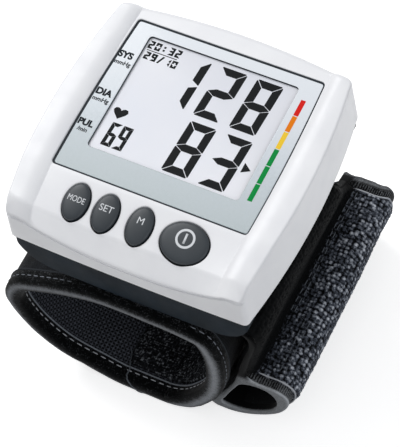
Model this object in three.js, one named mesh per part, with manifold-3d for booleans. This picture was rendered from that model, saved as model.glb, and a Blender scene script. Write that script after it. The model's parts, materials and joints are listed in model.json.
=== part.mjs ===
// Wrist blood pressure monitor: a flat case on a padded cuff, with a curled fastening strap.
// Millimetres, +Z up, +X to the wearer's right, buttons at the -Y end.
// The origin is on the resting plane, under the middle of the case.
import * as THREE from "three";
import { mergeVertices } from "three/addons/utils/BufferGeometryUtils.js";
import Module from "manifold-3d";

const wasm = await Module();
wasm.setup();

// Clearances
const gap = 0.3;
const overrun = 1;

// Cells and battery bay
const cellDiameter = 10.5;
const cellLength = 44.5;
const cellPitch = 11;
const cellNubDiameter = 3.8;
const cellNubLength = 1;
const contactThickness = 0.5;
const contactWidth = 6.4;
const contactHeight = 6.4;
const springDiameter = 5.6;
const springTipDiameter = 3.4;
const springLength = 2.6;
const bayWall = 1.2;
const bayWallHeight = 8.6;
const bayHalfLength = cellLength / 2 + springLength + contactThickness + 2 * gap;

// What lies side by side in the case, from the left, and the rooms between
const cellSideRoom = 5.75;
const manifoldRoom = 3.25;
const manifoldWidth = 7;
const pumpRoom = 3.6;
const pumpDiameter = 10.8;
const valveDiameter = 8;
const valveSideRoom = 6.6;
const cellsAcross = cellPitch + cellDiameter + gap + bayWall;
const airPartsAcross = manifoldRoom + manifoldWidth + pumpRoom + pumpDiameter + valveDiameter;

// Driving dimensions of the case, seen from above
const caseWidth = cellSideRoom + cellsAcross + airPartsAcross + valveSideRoom;
const bayEndRoom = 6.35;
const caseLength = 2 * (bayHalfLength + bayWall + bayEndRoom);
const sideBow = 2.7;
const frontBow = 0.3;
const rearBow = 2.3;
const frontCornerRadius = 1.8;
const rearCornerRadius = 3.4;

// Driving dimensions of the case, seen from the side
const upperShellHeight = 15.1;
const lowerShellHeight = 10.7;
const wall = 2;
const ceiling = 3.2;
const frontLean = 0.9;
const sideLean = 0.6;
const seamStep = 0.8;

// Driving dimensions of the cuff and of the strap
const loopWidth = 66;
const loopHeight = 55;
const loopOffset = -9.8;
const cuffLength = 71.2;
const strapFront = -30.5;
const strapLength = 68.9;
const strapBindingLength = 3.6;

// Layers of the cuff, from the outside in
const sleeveThickness = 1;
const stiffenerThickness = 0.6;
const bladderThickness = 1.2;
const linerThickness = 0.7;
const patchThickness = 1;
const cuffBindingLength = 2.6;

// Clamp plate between the case and the cuff
const plateWidth = 42;
const plateLength = 50;
const plateThickness = 1.6;

// Heights that follow from these
const plateBase = loopHeight + gap;
const caseBase = plateBase + plateThickness + gap;
const seam = caseBase + lowerShellHeight;
const rim = seam + gap;
const displayPlane = rim + upperShellHeight;
const floorTop = caseBase + wall;

// Forms of the top: creases, raised sides, and the slope that carries the buttons
const bolsterWidth = 5.3;
const creaseReach = caseWidth / 2 - bolsterWidth;
const creaseDraw = 2.6;
const creaseMiddle = 8;
const sideRise = 1.3;
const sideRiseShare = 0.7;
const sideEdgeFall = 0.35;
const edgeRadius = 1.6;
const rearRadius = 2.4;
const slopeDrop = 3.75;
const waterfallDrop = 5.3;
const waterfallPower = 7;
const smileShare = 0.4;
const smilePower = 2.5;

// Display window and display
const windowSideMargin = 7.2;
const windowRearMargin = 3.8;
const buttonBand = 16.6;
const windowFront = -caseLength / 2 + buttonBand;
const windowRear = caseLength / 2 - windowRearMargin;
const windowHalfWidth = caseWidth / 2 - windowSideMargin;
const windowBow = 1.1;
const windowRadius = 1.6;
const windowThickness = 1.6;
const windowSink = 0.1;
const ledge = 2.4;
const slopeStart = windowFront - windowSink * 8;
const displayLeftMargin = 3.6;
const displayRightMargin = 5;
const displayFrontMargin = 6.5;
const displayRearMargin = 2.8;
const displayLeft = -windowHalfWidth + displayLeftMargin;
const displayRight = windowHalfWidth - displayRightMargin;
const displayFront = windowFront + displayFrontMargin;
const displayRear = windowRear - displayRearMargin;
const displayThickness = 2.6;
const holderMargin = 1;
const holderWall = 1.5;

// Circuit board
const boardThickness = 1.2;
const boardMargin = 1.1;
const boardClearance = 0.8;
const boardBase = floorTop + gap + cellDiameter + boardClearance;
const boardTop = boardBase + boardThickness;

// Buttons: place across the case, half width and half length of each oval
const buttonRowMargin = 9.1;
const buttonRow = -caseLength / 2 + buttonRowMargin;
const smallButtonHalfWidth = 3.25;
const smallButtonHalfLength = 4.9;
const powerButtonHalfWidth = 6.4;
const powerButtonHalfLength = 5.15;
const modeAcross = -16.6;
const setAcross = -8.3;
const memoryAcross = 1.3;
const powerAcross = 13.8;
const smallButton = { halfWidth: smallButtonHalfWidth, halfLength: smallButtonHalfLength };
const powerButton = { halfWidth: powerButtonHalfWidth, halfLength: powerButtonHalfLength };
const buttonPlaces = [
  { name: "button_mode", across: modeAcross, size: smallButton },
  { name: "button_set", across: setAcross, size: smallButton },
  { name: "button_memory", across: memoryAcross, size: smallButton },
  { name: "button_power", across: powerAcross, size: powerButton },
];
const buttonGap = 0.3;
const buttonProud = 0.9;
const buttonBevel = 0.45;
const buttonFlangeAcross = 0.4;
const buttonFlangeAlong = 0.9;
const buttonFlangeThickness = 0.9;
const buttonFlangeDepth = 5;
const buttonTravel = 0.6;
const matThickness = 1.2;
const matHalfLength = 5.4;
const matMargin = 1.2;

// Screws
const screwSideMargin = 6.4;
const screwFrontMargin = 5.3;
const screwRearMargin = 4.8;
const screwAcross = caseWidth / 2 - screwSideMargin;
const screwFront = -caseLength / 2 + screwFrontMargin;
const screwRear = caseLength / 2 - screwRearMargin;
const screwDiameter = 2;
const screwHeadDiameter = 4;
const screwHeadThickness = 1.5;
const screwLength = 12;
const screwSeat = 4;
const postDiameter = 5.6;
const plateScrewSideMargin = 5.8;
const plateScrewEndMargin = 6;
const plateScrewAcross = plateWidth / 2 - plateScrewSideMargin;
const plateScrewAlong = plateLength / 2 - plateScrewEndMargin;
const plateScrewDiameter = 1.6;
const plateScrewHeadDiameter = 3.4;
const plateScrewHeadThickness = 0.9;

// Places of the cells and of the battery cover
const firstCellAcross = -caseWidth / 2 + cellSideRoom + cellDiameter / 2;
const coverEndRoom = 2.35;
const coverReach = 4.6;
const coverHalfLength = bayHalfLength - coverEndRoom;
const coverInnerEdge = -caseWidth / 2 + coverReach;

// Pump, valve, sensor and air way
const bayRight = firstCellAcross + cellPitch + cellDiameter / 2 + gap;
const portAcross = bayRight + bayWall + manifoldRoom + manifoldWidth / 2;
const pumpAcross = portAcross + manifoldWidth / 2 + pumpRoom + pumpDiameter / 2;
const valveAcross = pumpAcross + pumpDiameter / 2 + valveDiameter / 2;
const motorLength = 14;
const motorFront = -8;
const headLength = 9;
const headWidth = 10.8;
const shaftDiameter = 1.5;
const shaftOverhang = 1.6;
const camDiameter = 5;
const camThickness = 2;
const camOffset = 0.7;
const camRoom = 0.8;
const nozzleDiameter = 2.4;
const nozzleLength = 2.6;
const valveFront = -19;
const valveLength = 11;
const plungerDiameter = 1.8;
const plungerLength = 6;
const plungerOverhang = 1.4;
const valveTravel = 0.6;
const portDiameter = 4;
const portBore = 2;
const portFlangeDiameter = 7;
const portFlangeThickness = 1;
const portRise = 1.3;
const manifoldLength = 9;
const manifoldHeight = 4;
const sensorSize = 8;
const sensorHeight = 4;
const hoseDiameter = 3.2;
const buzzerDiameter = 9;
const buzzerHeight = 3.5;
const buzzerSideMargin = 10;
const buzzerRearMargin = 15.5;
const buzzerAcross = caseWidth / 2 - buzzerSideMargin;
const buzzerAlong = caseLength / 2 - buzzerRearMargin;

// Roundness of the parts, in counts
const outlineSteps = 6;
const roundSides = 18;
const smallSides = 12;
const loopSteps = 60;
const strapSteps = 56;
const hoseSides = 8;
const hoseSteps = 18;

// Colours of the parts as the daylight shows them
const paint = {
  white: { color: 0xe9eaed, roughness: 0.32, metalness: 0 },
  slate: { color: 0x232b34, roughness: 0.5, metalness: 0 },
  button: { color: 0x3c444c, roughness: 0.4, metalness: 0 },
  window: { color: 0xb9c1c6, roughness: 0.12, metalness: 0 },
  display: { color: 0xe2e4ea, roughness: 0.3, metalness: 0 },
  frame: { color: 0xcfd2d6, roughness: 0.55, metalness: 0 },
  rubber: { color: 0x8c9094, roughness: 0.8, metalness: 0 },
  board: { color: 0x1f5a3a, roughness: 0.6, metalness: 0 },
  steel: { color: 0xb7babd, roughness: 0.3, metalness: 1 },
  cell: { color: 0x50575e, roughness: 0.35, metalness: 0.4 },
  part: { color: 0x17191c, roughness: 0.55, metalness: 0 },
  hose: { color: 0xd9dcdc, roughness: 0.5, metalness: 0 },
  cloth: { color: 0x2a2e34, roughness: 0.9, metalness: 0 },
  binding: { color: 0x6d7178, roughness: 0.9, metalness: 0 },
  loopPile: { color: 0x2e333d, roughness: 0.95, metalness: 0 },
  bladder: { color: 0x6f7f8a, roughness: 0.6, metalness: 0 },
};

const object = new THREE.Group();

// Solids: each is a closed three.js geometry handed over for cutting and joining
function solid(geometry) {
  const bare = geometry.index ? geometry.toNonIndexed() : geometry.clone();
  for (const name of Object.keys(bare.attributes)) {
    if (name !== "position") bare.deleteAttribute(name);
  }
  const merged = mergeVertices(bare);
  return new wasm.Manifold(new wasm.Mesh({
    numProp: 3,
    vertProperties: new Float32Array(merged.attributes.position.array),
    triVerts: new Uint32Array(merged.index.array),
  }));
}

function addPart(name, body, look, parent = object) {
  const mesh = body.getMesh();
  const geometry = new THREE.BufferGeometry();
  geometry.setAttribute("position", new THREE.BufferAttribute(mesh.vertProperties, 3));
  geometry.setIndex(new THREE.BufferAttribute(mesh.triVerts, 1));
  geometry.computeVertexNormals();
  const part = new THREE.Mesh(geometry, new THREE.MeshStandardMaterial(look));
  part.name = name;
  parent.add(part);
  return part;
}

function box(x0, x1, y0, y1, z0, z1) {
  const geometry = new THREE.BoxGeometry(x1 - x0, y1 - y0, z1 - z0);
  return solid(geometry.translate((x0 + x1) / 2, (y0 + y1) / 2, (z0 + z1) / 2));
}

// A cylinder or cone standing on z0
function post(x, y, z0, z1, diameter, topDiameter = diameter, sides = roundSides) {
  const geometry = new THREE.CylinderGeometry(topDiameter / 2, diameter / 2, z1 - z0, sides);
  return solid(geometry.rotateX(Math.PI / 2).translate(x, y, (z0 + z1) / 2));
}

// A cylinder or cone lying along Y, from y0 to y1
function rod(x, z, y0, y1, diameter, endDiameter = diameter, sides = roundSides) {
  const geometry = new THREE.CylinderGeometry(endDiameter / 2, diameter / 2, y1 - y0, sides);
  return solid(geometry.translate(x, (y0 + y1) / 2, z));
}

// A flat outline raised from z0 to z1
function prism(shape, z0, z1, curveSegments = outlineSteps) {
  const geometry = new THREE.ExtrudeGeometry(shape, { depth: z1 - z0, bevelEnabled: false, curveSegments });
  return geometry.translate(0, 0, z0);
}

// An outline drawn across X and Z, stretched along Y from y0 to y1
function stretch(shape, y0, y1, curveSegments = outlineSteps) {
  const geometry = new THREE.ExtrudeGeometry(shape, { depth: y1 - y0, bevelEnabled: false, curveSegments });
  return solid(geometry.rotateX(Math.PI / 2).translate(0, y1, 0));
}

// Outline of the case from above, drawn in by an inset
function caseOutline(inset) {
  const w = caseWidth / 2 - inset;
  const l = caseLength / 2 - inset;
  const f = Math.max(frontCornerRadius - inset, frontCornerRadius / 4);
  const r = Math.max(rearCornerRadius - inset, rearCornerRadius / 4);
  const outline = new THREE.Shape();
  outline.moveTo(-w + f, -l);
  outline.quadraticCurveTo(0, -l - 2 * frontBow, w - f, -l);
  outline.quadraticCurveTo(w, -l, w, -l + f);
  outline.quadraticCurveTo(w + 2 * sideBow, 0, w, l - r);
  outline.quadraticCurveTo(w, l, w - r, l);
  outline.quadraticCurveTo(0, l + 2 * rearBow, -w + r, l);
  outline.quadraticCurveTo(-w, l, -w, l - r);
  outline.quadraticCurveTo(-w - 2 * sideBow, 0, -w, -l + f);
  outline.quadraticCurveTo(-w, -l, -w + f, -l);
  return outline;
}

// The case walls: the outline raised, leaning in a little as it climbs from the rim
function caseWalls(inset, z0, z1) {
  const geometry = prism(caseOutline(inset), z0, z1);
  const place = geometry.attributes.position;
  for (let i = 0; i < place.count; i += 1) {
    const climb = (place.getZ(i) - rim) / upperShellHeight;
    const frontShare = Math.max(0, -place.getY(i) / (caseLength / 2));
    place.setX(i, place.getX(i) * (1 - (climb * sideLean) / (caseWidth / 2)));
    place.setY(i, place.getY(i) + climb * frontLean * frontShare);
  }
  return solid(geometry);
}

// Half width between the creases, side edge and rear edge of the top
const creaseSpan = caseLength / 2 + creaseMiddle;
const creaseAt = (y) => creaseReach - creaseDraw * ((y - creaseMiddle) / creaseSpan) ** 2;
const sideEdgeAt = (y) => caseWidth / 2 - sideLean + sideBow * (1 - (2 * y / caseLength) ** 2);
const rearEdgeAt = (x) => caseLength / 2 + rearBow * (1 - (2 * x / caseWidth) ** 2);
const frontEdge = -caseLength / 2 + frontLean / 2;

function roundedFall(distance, radius) {
  if (distance >= radius) return 0;
  const inner = Math.min(radius, radius - distance);
  return radius - Math.sqrt(Math.max(0, radius * radius - inner * inner));
}

// Height of the top over the resting plane
function topHeight(x, y) {
  const crease = creaseAt(y);
  const across = Math.abs(x);
  const run = Math.max(0, (slopeStart - y) / (slopeStart - frontEdge));
  const smile = 1 - smileShare * Math.min(1, across / crease) ** smilePower;
  const fall = (slopeDrop * run + waterfallDrop * run ** waterfallPower) * smile;
  const side = Math.max(0, (across - crease) / (sideEdgeAt(y) - crease));
  const rise = sideRise * Math.sin((Math.min(side / sideRiseShare, 1) * Math.PI) / 2);
  const edge = roundedFall(sideEdgeAt(y) - across, edgeRadius) + roundedFall(rearEdgeAt(x) - y, rearRadius);
  return displayPlane - fall + rise - sideEdgeFall * side * side - edge;
}

// Slope of the top under the buttons
function slopeAngle(x, y) {
  const step = edgeRadius / 8;
  return Math.atan((topHeight(x, y + step) - topHeight(x, y - step)) / (2 * step));
}

// A block under the top's surface, lowered by a depth, down to a flat base
const outerGrid = {
  plateauShares: [-1, -0.84, -0.64, -0.36, 0, 0.36, 0.64, 0.84, 1],
  sideShares: [0.16, 0.34, 0.54, 0.8, 0.9, 0.96, 1, 1.15],
  slopeShares: [-0.1, 0, 0.06, 0.13, 0.22, 0.34, 0.5, 1],
  flatShares: [0.9, 0.945, 0.975, 1, 1.05],
};
const innerGrid = {
  plateauShares: [-1, -0.5, 0, 0.5, 1],
  sideShares: [0.5, 0.86, 1, 1.15],
  slopeShares: [-0.1, 0, 0.12, 0.3, 1],
  flatShares: [0.93, 1, 1.05],
};
function topBlock(depth, base, grid) {
  const columns = [
    ...grid.sideShares.map((share) => ({ side: -1, share })).reverse(),
    ...grid.plateauShares.map((share) => ({ side: 0, share })),
    ...grid.sideShares.map((share) => ({ side: 1, share })),
  ];
  const rows = [
    ...grid.slopeShares.map((share) => () => frontEdge + (slopeStart - frontEdge) * share),
    ...grid.flatShares.map((share) => (x) => slopeStart + (rearEdgeAt(x) - slopeStart) * share),
  ];
  const columnX = (column, y) => {
    const crease = creaseAt(y);
    if (column.side === 0) return crease * column.share;
    return column.side * (crease + (sideEdgeAt(y) - crease) * column.share);
  };
  const place = (i, j) => {
    const roughX = columnX(columns[i], 0);
    const y = rows[j](roughX);
    return [columnX(columns[i], y), y];
  };
  const points = [];
  const faces = [];
  const across = columns.length;
  const along = rows.length;
  for (let j = 0; j < along; j += 1) {
    for (let i = 0; i < across; i += 1) {
      const [x, y] = place(i, j);
      points.push(x, y, topHeight(x, y) - depth);
    }
  }
  const under = points.length / 3;
  for (let j = 0; j < along; j += 1) {
    for (let i = 0; i < across; i += 1) {
      const [x, y] = place(i, j);
      points.push(x, y, base);
    }
  }
  const quad = (a, b, c, d) => faces.push(a, b, c, a, c, d);
  for (let j = 0; j + 1 < along; j += 1) {
    for (let i = 0; i + 1 < across; i += 1) {
      const a = j * across + i;
      quad(a, a + 1, a + across + 1, a + across);
      quad(under + a + across, under + a + across + 1, under + a + 1, under + a);
    }
  }
  const rear = (along - 1) * across;
  for (let i = 0; i + 1 < across; i += 1) {
    quad(under + i, under + i + 1, i + 1, i);
    quad(rear + i, rear + i + 1, under + rear + i + 1, under + rear + i);
  }
  for (let j = 0; j + 1 < along; j += 1) {
    const left = j * across;
    const right = left + across - 1;
    quad(left, left + across, under + left + across, under + left);
    quad(under + right, under + right + across, right + across, right);
  }
  const geometry = new THREE.BufferGeometry();
  geometry.setAttribute("position", new THREE.Float32BufferAttribute(points, 3));
  geometry.setIndex(faces);
  return solid(geometry);
}

// Display window outline, drawn in by an inset
function windowOutline(inset) {
  const w = windowHalfWidth - inset;
  const y0 = windowFront + inset;
  const y1 = windowRear - inset;
  const middle = (y0 + y1) / 2;
  const r = windowRadius;
  const outline = new THREE.Shape();
  outline.moveTo(-w + r, y0);
  outline.lineTo(w - r, y0);
  outline.quadraticCurveTo(w, y0, w, y0 + r);
  outline.quadraticCurveTo(w + 2 * windowBow, middle, w, y1 - r);
  outline.quadraticCurveTo(w, y1, w - r, y1);
  outline.lineTo(-w + r, y1);
  outline.quadraticCurveTo(-w, y1, -w, y1 - r);
  outline.quadraticCurveTo(-w - 2 * windowBow, middle, -w, y0 + r);
  outline.quadraticCurveTo(-w, y0, -w + r, y0);
  return outline;
}

// Lower body of the case: narrower than the rim, with its lower side edges rounded away
const lowerFlatHalf = 22;
const lowerCornerPull = 2.4;
function lowerBody(inset, top) {
  const base = caseBase + inset;
  const flat = lowerFlatHalf;
  const reach = caseWidth / 2 + sideBow + overrun - inset;
  const shoulder = caseWidth / 2 - inset;
  const bend = rim - seamStep;
  const profile = new THREE.Shape();
  profile.moveTo(-flat, base);
  profile.lineTo(flat, base);
  profile.quadraticCurveTo(shoulder - lowerCornerPull, base, shoulder, bend);
  profile.lineTo(reach, bend);
  profile.lineTo(reach, top);
  profile.lineTo(-reach, top);
  profile.lineTo(-reach, bend);
  profile.lineTo(-shoulder, bend);
  profile.quadraticCurveTo(-shoulder + lowerCornerPull, base, -flat, base);
  const walls = caseWalls(seamStep + inset, base, top);
  return walls.intersect(stretch(profile, -caseLength, caseLength));
}

const screwPlaces = [
  [-screwAcross, screwFront],
  [screwAcross, screwFront],
  [-screwAcross, screwRear],
  [screwAcross, screwRear],
];
const screwTop = caseBase + screwSeat + screwHeadThickness + screwLength;
const screwBore = screwDiameter + 2 * gap;
const screwSink = screwHeadDiameter + 2 * gap;
const plateScrewBore = plateScrewDiameter + 2 * gap;
const plateScrewSink = plateScrewHeadDiameter + 2 * gap;
const plateScrewPlaces = [
  [-plateScrewAcross, -plateScrewAlong],
  [plateScrewAcross, -plateScrewAlong],
  [-plateScrewAcross, plateScrewAlong],
  [plateScrewAcross, plateScrewAlong],
];

// The room that the battery cover fills in both shells
const coverBottom = floorTop + gap;
const coverTop = boardBase - gap;
function coverRoom(inset) {
  const reach = caseWidth / 2 + sideBow + 2 * overrun;
  return box(-reach, coverInnerEdge - inset, -coverHalfLength - gap + inset, coverHalfLength + gap - inset,
    coverBottom - gap + inset, coverTop + gap - inset);
}

// Where a button stands on the slope, and the group that turns with it
function buttonFrame(button) {
  const frame = new THREE.Group();
  frame.position.set(button.across, buttonRow, topHeight(button.across, buttonRow));
  frame.rotation.x = slopeAngle(button.across, buttonRow);
  frame.updateMatrix();
  return frame;
}

function oval(halfWidth, halfLength, z0, z1, bevel = 0) {
  const outline = new THREE.Shape();
  outline.absellipse(0, 0, halfWidth - bevel, halfLength - bevel, 0, 2 * Math.PI);
  const geometry = new THREE.ExtrudeGeometry(outline, {
    depth: z1 - z0 - bevel,
    bevelEnabled: bevel > 0,
    bevelSize: bevel,
    bevelThickness: bevel,
    bevelSegments: 2,
    curveSegments: smallSides,
  });
  return solid(geometry.translate(0, 0, z0));
}

// White top shell, with its posts, window seat, button holes and cover room
function topShell() {
  let shell = topBlock(0, rim, outerGrid).intersect(caseWalls(0, rim, displayPlane + sideRise + overrun));
  const hollow = topBlock(ceiling, rim - overrun, innerGrid)
    .intersect(caseWalls(wall, rim - overrun, displayPlane + sideRise));
  shell = shell.subtract(hollow);
  for (const [x, y] of screwPlaces) {
    const root = topHeight(x, y) - ceiling / 2;
    const bore = post(x, y, rim - overrun, screwTop + gap, screwBore, undefined, smallSides);
    shell = shell.add(post(x, y, rim + gap, root, postDiameter)).subtract(bore);
  }
  const seat = displayPlane - windowSink - windowThickness - gap;
  const above = displayPlane + sideRise + overrun;
  shell = shell.subtract(solid(prism(windowOutline(-gap), seat, above)));
  shell = shell.subtract(solid(prism(windowOutline(ledge), seat - ceiling, above)));
  for (const button of buttonPlaces) {
    const hole = oval(button.size.halfWidth + buttonGap, button.size.halfLength + buttonGap,
      -2 * ceiling, buttonProud + overrun);
    shell = shell.subtract(hole.transform(buttonFrame(button).matrix.elements));
  }
  return shell.subtract(coverRoom(0));
}
addPart("top_shell", topShell(), paint.white);

// Dark lower shell, with its posts, battery walls and holes
function bottomShell() {
  let shell = lowerBody(0, seam).subtract(lowerBody(wall, seam + overrun));
  const bayLeft = coverInnerEdge + gap;
  const bay = new THREE.Shape([
    new THREE.Vector2(bayLeft, -bayHalfLength - bayWall),
    new THREE.Vector2(bayRight + bayWall, -bayHalfLength - bayWall),
    new THREE.Vector2(bayRight + bayWall, bayHalfLength + bayWall),
    new THREE.Vector2(bayLeft, bayHalfLength + bayWall),
    new THREE.Vector2(bayLeft, bayHalfLength),
    new THREE.Vector2(bayRight, bayHalfLength),
    new THREE.Vector2(bayRight, -bayHalfLength),
    new THREE.Vector2(bayLeft, -bayHalfLength),
  ]);
  let fill = solid(prism(bay, floorTop - wall, floorTop + bayWallHeight));
  for (const [x, y] of screwPlaces) {
    fill = fill.add(post(x, y, caseBase, seam, postDiameter));
  }
  shell = shell.add(fill.intersect(lowerBody(wall / 2, seam)));
  for (const [x, y] of screwPlaces) {
    const bore = post(x, y, caseBase - overrun, seam + overrun, screwBore, undefined, smallSides);
    const sink = post(x, y, caseBase - overrun, caseBase + screwSeat + screwHeadThickness + gap, screwSink);
    shell = shell.subtract(bore).subtract(sink);
  }
  for (const [x, y] of plateScrewPlaces) {
    const bore = post(x, y, caseBase - overrun, floorTop + overrun, plateScrewBore, undefined, smallSides);
    const sink = post(x, y, floorTop - plateScrewHeadThickness - gap, floorTop + overrun, plateScrewSink);
    shell = shell.subtract(bore).subtract(sink);
  }
  shell = shell.subtract(post(portAcross, 0, caseBase - overrun, floorTop + overrun, portDiameter + 2 * gap));
  return shell.subtract(coverRoom(0));
}
addPart("bottom_shell", bottomShell(), paint.slate);

// Battery cover: the piece of wall that fills the room in the left side
const cover = lowerBody(0, coverTop + overrun)
  .subtract(lowerBody(wall, coverTop + 2 * overrun))
  .intersect(coverRoom(gap));
addPart("battery_cover", cover, paint.slate);

// Window pane and display
const paneTop = displayPlane - windowSink;
const paneBase = paneTop - windowThickness;
addPart("display_window", solid(prism(windowOutline(0), paneBase, paneTop)), paint.window);
const displayTop = paneBase - gap;
const displayBase = displayTop - displayThickness;
addPart("display_glass", box(displayLeft, displayRight, displayFront, displayRear, displayBase, displayTop),
  paint.display);
const holderTop = displayBase - gap;
const holderBase = boardTop + gap;
const holder = box(displayLeft - holderMargin, displayRight + holderMargin, displayFront - holderMargin,
  displayRear + holderMargin, holderBase, holderTop)
  .subtract(box(displayLeft + holderWall, displayRight - holderWall, displayFront + holderWall,
    displayRear - holderWall, holderBase - overrun, holderTop - holderWall));
addPart("display_holder", holder, paint.frame);

// Buttons and the rubber mat under them
for (const button of buttonPlaces) {
  const frame = buttonFrame(button);
  const { halfWidth, halfLength } = button.size;
  const flangeBase = -buttonFlangeDepth - buttonFlangeThickness;
  const capBase = -buttonFlangeDepth - buttonFlangeThickness / 2;
  const cap = oval(halfWidth, halfLength, capBase, buttonProud, buttonBevel);
  const flange = oval(halfWidth + buttonFlangeAcross, halfLength + buttonFlangeAlong, flangeBase,
    -buttonFlangeDepth);
  object.add(frame);
  addPart(button.name, cap.add(flange), paint.button, frame);
}
const matLeft = buttonPlaces[0].across - smallButton.halfWidth - matMargin;
const matRight = buttonPlaces[3].across + powerButton.halfWidth + matMargin;
const matFrame = new THREE.Group();
matFrame.position.set(0, buttonRow, topHeight(0, buttonRow));
matFrame.rotation.x = slopeAngle(0, buttonRow);
const matTop = -buttonFlangeDepth - buttonFlangeThickness - buttonTravel - gap;
object.add(matFrame);
addPart("button_mat", box(matLeft, matRight, -matHalfLength, matHalfLength, matTop - matThickness, matTop),
  paint.rubber, matFrame);

// Circuit board, its corners cut away round the posts
let board = solid(prism(caseOutline(wall + boardMargin), boardBase, boardTop));
for (const [x, y] of screwPlaces) {
  const nearX = Math.sign(x) * (Math.abs(x) - postDiameter / 2 - 2 * gap);
  const nearY = Math.sign(y) * (Math.abs(y) - postDiameter / 2 - 2 * gap);
  const farX = Math.sign(x) * caseWidth;
  const farY = Math.sign(y) * caseLength;
  board = board.subtract(box(Math.min(nearX, farX), Math.max(nearX, farX), Math.min(nearY, farY),
    Math.max(nearY, farY), boardBase - overrun, boardTop + overrun));
}
addPart("circuit_board", board, paint.board);

// Case screws, driven up from below
screwPlaces.forEach(([x, y], i) => {
  const seat = caseBase + screwSeat;
  const head = post(x, y, seat, seat + screwHeadThickness, screwHeadDiameter);
  const shank = post(x, y, seat + screwHeadThickness / 2, screwTop, screwDiameter, undefined, smallSides);
  addPart(`case_screw_${i + 1}`, head.add(shank), paint.steel);
});

// Clamp plate of the cuff, with its four short screws
let plate = box(-plateWidth / 2, plateWidth / 2, -plateLength / 2, plateLength / 2, plateBase,
  plateBase + plateThickness);
plate = plate.subtract(post(portAcross, 0, plateBase - overrun, caseBase + overrun, portDiameter + 2 * gap));
for (const [x, y] of plateScrewPlaces) {
  const bore = post(x, y, plateBase - overrun, caseBase + overrun, plateScrewBore, undefined, smallSides);
  plate = plate.subtract(bore);
}
addPart("cuff_plate", plate, paint.part);
plateScrewPlaces.forEach(([x, y], i) => {
  const headBase = floorTop - plateScrewHeadThickness;
  const head = post(x, y, headBase, floorTop, plateScrewHeadDiameter);
  const shank = post(x, y, plateBase + gap, headBase + plateScrewHeadThickness / 2, plateScrewDiameter,
    undefined, smallSides);
  addPart(`plate_screw_${i + 1}`, head.add(shank), paint.steel);
});

// Cells: the first has its nub to the rear, the second to the front
const cellCentre = floorTop + gap + cellDiameter / 2;
const cellBodyLength = cellLength - cellNubLength;
const contactBase = cellCentre - contactHeight / 2;
[1, -1].forEach((nubSide, i) => {
  const x = firstCellAcross + i * cellPitch;
  const bodyFlat = (-nubSide * cellLength) / 2;
  const bodyShoulder = bodyFlat + nubSide * cellBodyLength;
  const nubEnd = bodyShoulder + nubSide * cellNubLength;
  const can = rod(x, cellCentre, Math.min(bodyFlat, bodyShoulder), Math.max(bodyFlat, bodyShoulder),
    cellDiameter);
  const nubRoot = bodyShoulder - nubSide * cellNubLength;
  const nub = rod(x, cellCentre, Math.min(nubRoot, nubEnd), Math.max(nubRoot, nubEnd), cellNubDiameter);
  addPart(`battery_cell_${i + 1}`, can.add(nub), paint.cell);
  const plateFace = -nubSide * (bayHalfLength - gap);
  const springFoot = plateFace + nubSide * contactThickness;
  const springTip = bodyFlat - nubSide * gap;
  const leaf = box(x - contactWidth / 2, x + contactWidth / 2, Math.min(plateFace, springFoot),
    Math.max(plateFace, springFoot), contactBase, contactBase + contactHeight);
  const cone = nubSide > 0
    ? rod(x, cellCentre, springFoot - contactThickness / 2, springTip, springDiameter, springTipDiameter)
    : rod(x, cellCentre, springTip, springFoot + contactThickness / 2, springTipDiameter, springDiameter);
  addPart(`battery_spring_${i + 1}`, leaf.add(cone), paint.steel);
  const farFace = -plateFace;
  const leafFace = farFace - nubSide * contactThickness;
  const nubSeat = nubEnd + nubSide * gap;
  const dimpleRoot = leafFace + (nubSide * contactThickness) / 2;
  const farLeaf = box(x - contactWidth / 2, x + contactWidth / 2, Math.min(leafFace, farFace),
    Math.max(leafFace, farFace), contactBase, contactBase + contactHeight);
  const dimple = rod(x, cellCentre, Math.min(nubSeat, dimpleRoot), Math.max(nubSeat, dimpleRoot),
    springTipDiameter);
  addPart(`battery_contact_${i + 1}`, farLeaf.add(dimple), paint.steel);
});

// Pump: motor can, head with a cam room, and the shaft that turns in both
const pumpCentre = floorTop + gap + pumpDiameter / 2;
const motorRear = motorFront + motorLength;
const headFront = motorRear + gap;
const headRear = headFront + headLength;
const shaftRoom = shaftDiameter + 2 * gap;
const camRoomDiameter = camDiameter + 2 * camOffset + camRoom;
addPart("pump_motor", rod(pumpAcross, pumpCentre, motorFront, motorRear, pumpDiameter)
  .subtract(rod(pumpAcross, pumpCentre, motorFront - overrun, motorRear + overrun, shaftRoom)), paint.steel);
const camRoomRear = headFront + camThickness + camRoom;
const head = box(pumpAcross - headWidth / 2, pumpAcross + headWidth / 2, headFront, headRear,
  floorTop + gap, floorTop + gap + headWidth)
  .subtract(rod(pumpAcross, pumpCentre, headFront - overrun, camRoomRear, camRoomDiameter))
  .add(rod(pumpAcross, pumpCentre, headRear - overrun, headRear + nozzleLength, nozzleDiameter));
addPart("pump_head", head, paint.part);
const camFront = headFront + gap;
const shaftFront = motorFront - shaftOverhang;
const shaft = rod(pumpAcross, pumpCentre, shaftFront, camFront + camThickness / 2, shaftDiameter)
  .add(rod(pumpAcross, pumpCentre + camOffset, camFront, camFront + camThickness, camDiameter));
addPart("pump_shaft", shaft, paint.steel);

// Release valve with its sprung plunger
const valveCentre = floorTop + gap + overrun / 2 + valveDiameter / 2;
const valveRear = valveFront + valveLength;
const valve = rod(valveAcross, valveCentre, valveFront, valveRear, valveDiameter)
  .subtract(rod(valveAcross, valveCentre, valveRear - plungerLength - valveTravel, valveRear + overrun,
    plungerDiameter + 2 * gap))
  .add(rod(valveAcross, valveCentre, valveFront - nozzleLength, valveFront + overrun, nozzleDiameter));
addPart("release_valve", valve, paint.part);
addPart("valve_plunger", rod(valveAcross, valveCentre, valveRear + plungerOverhang - plungerLength,
  valveRear + plungerOverhang, plungerDiameter), paint.steel);

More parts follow.
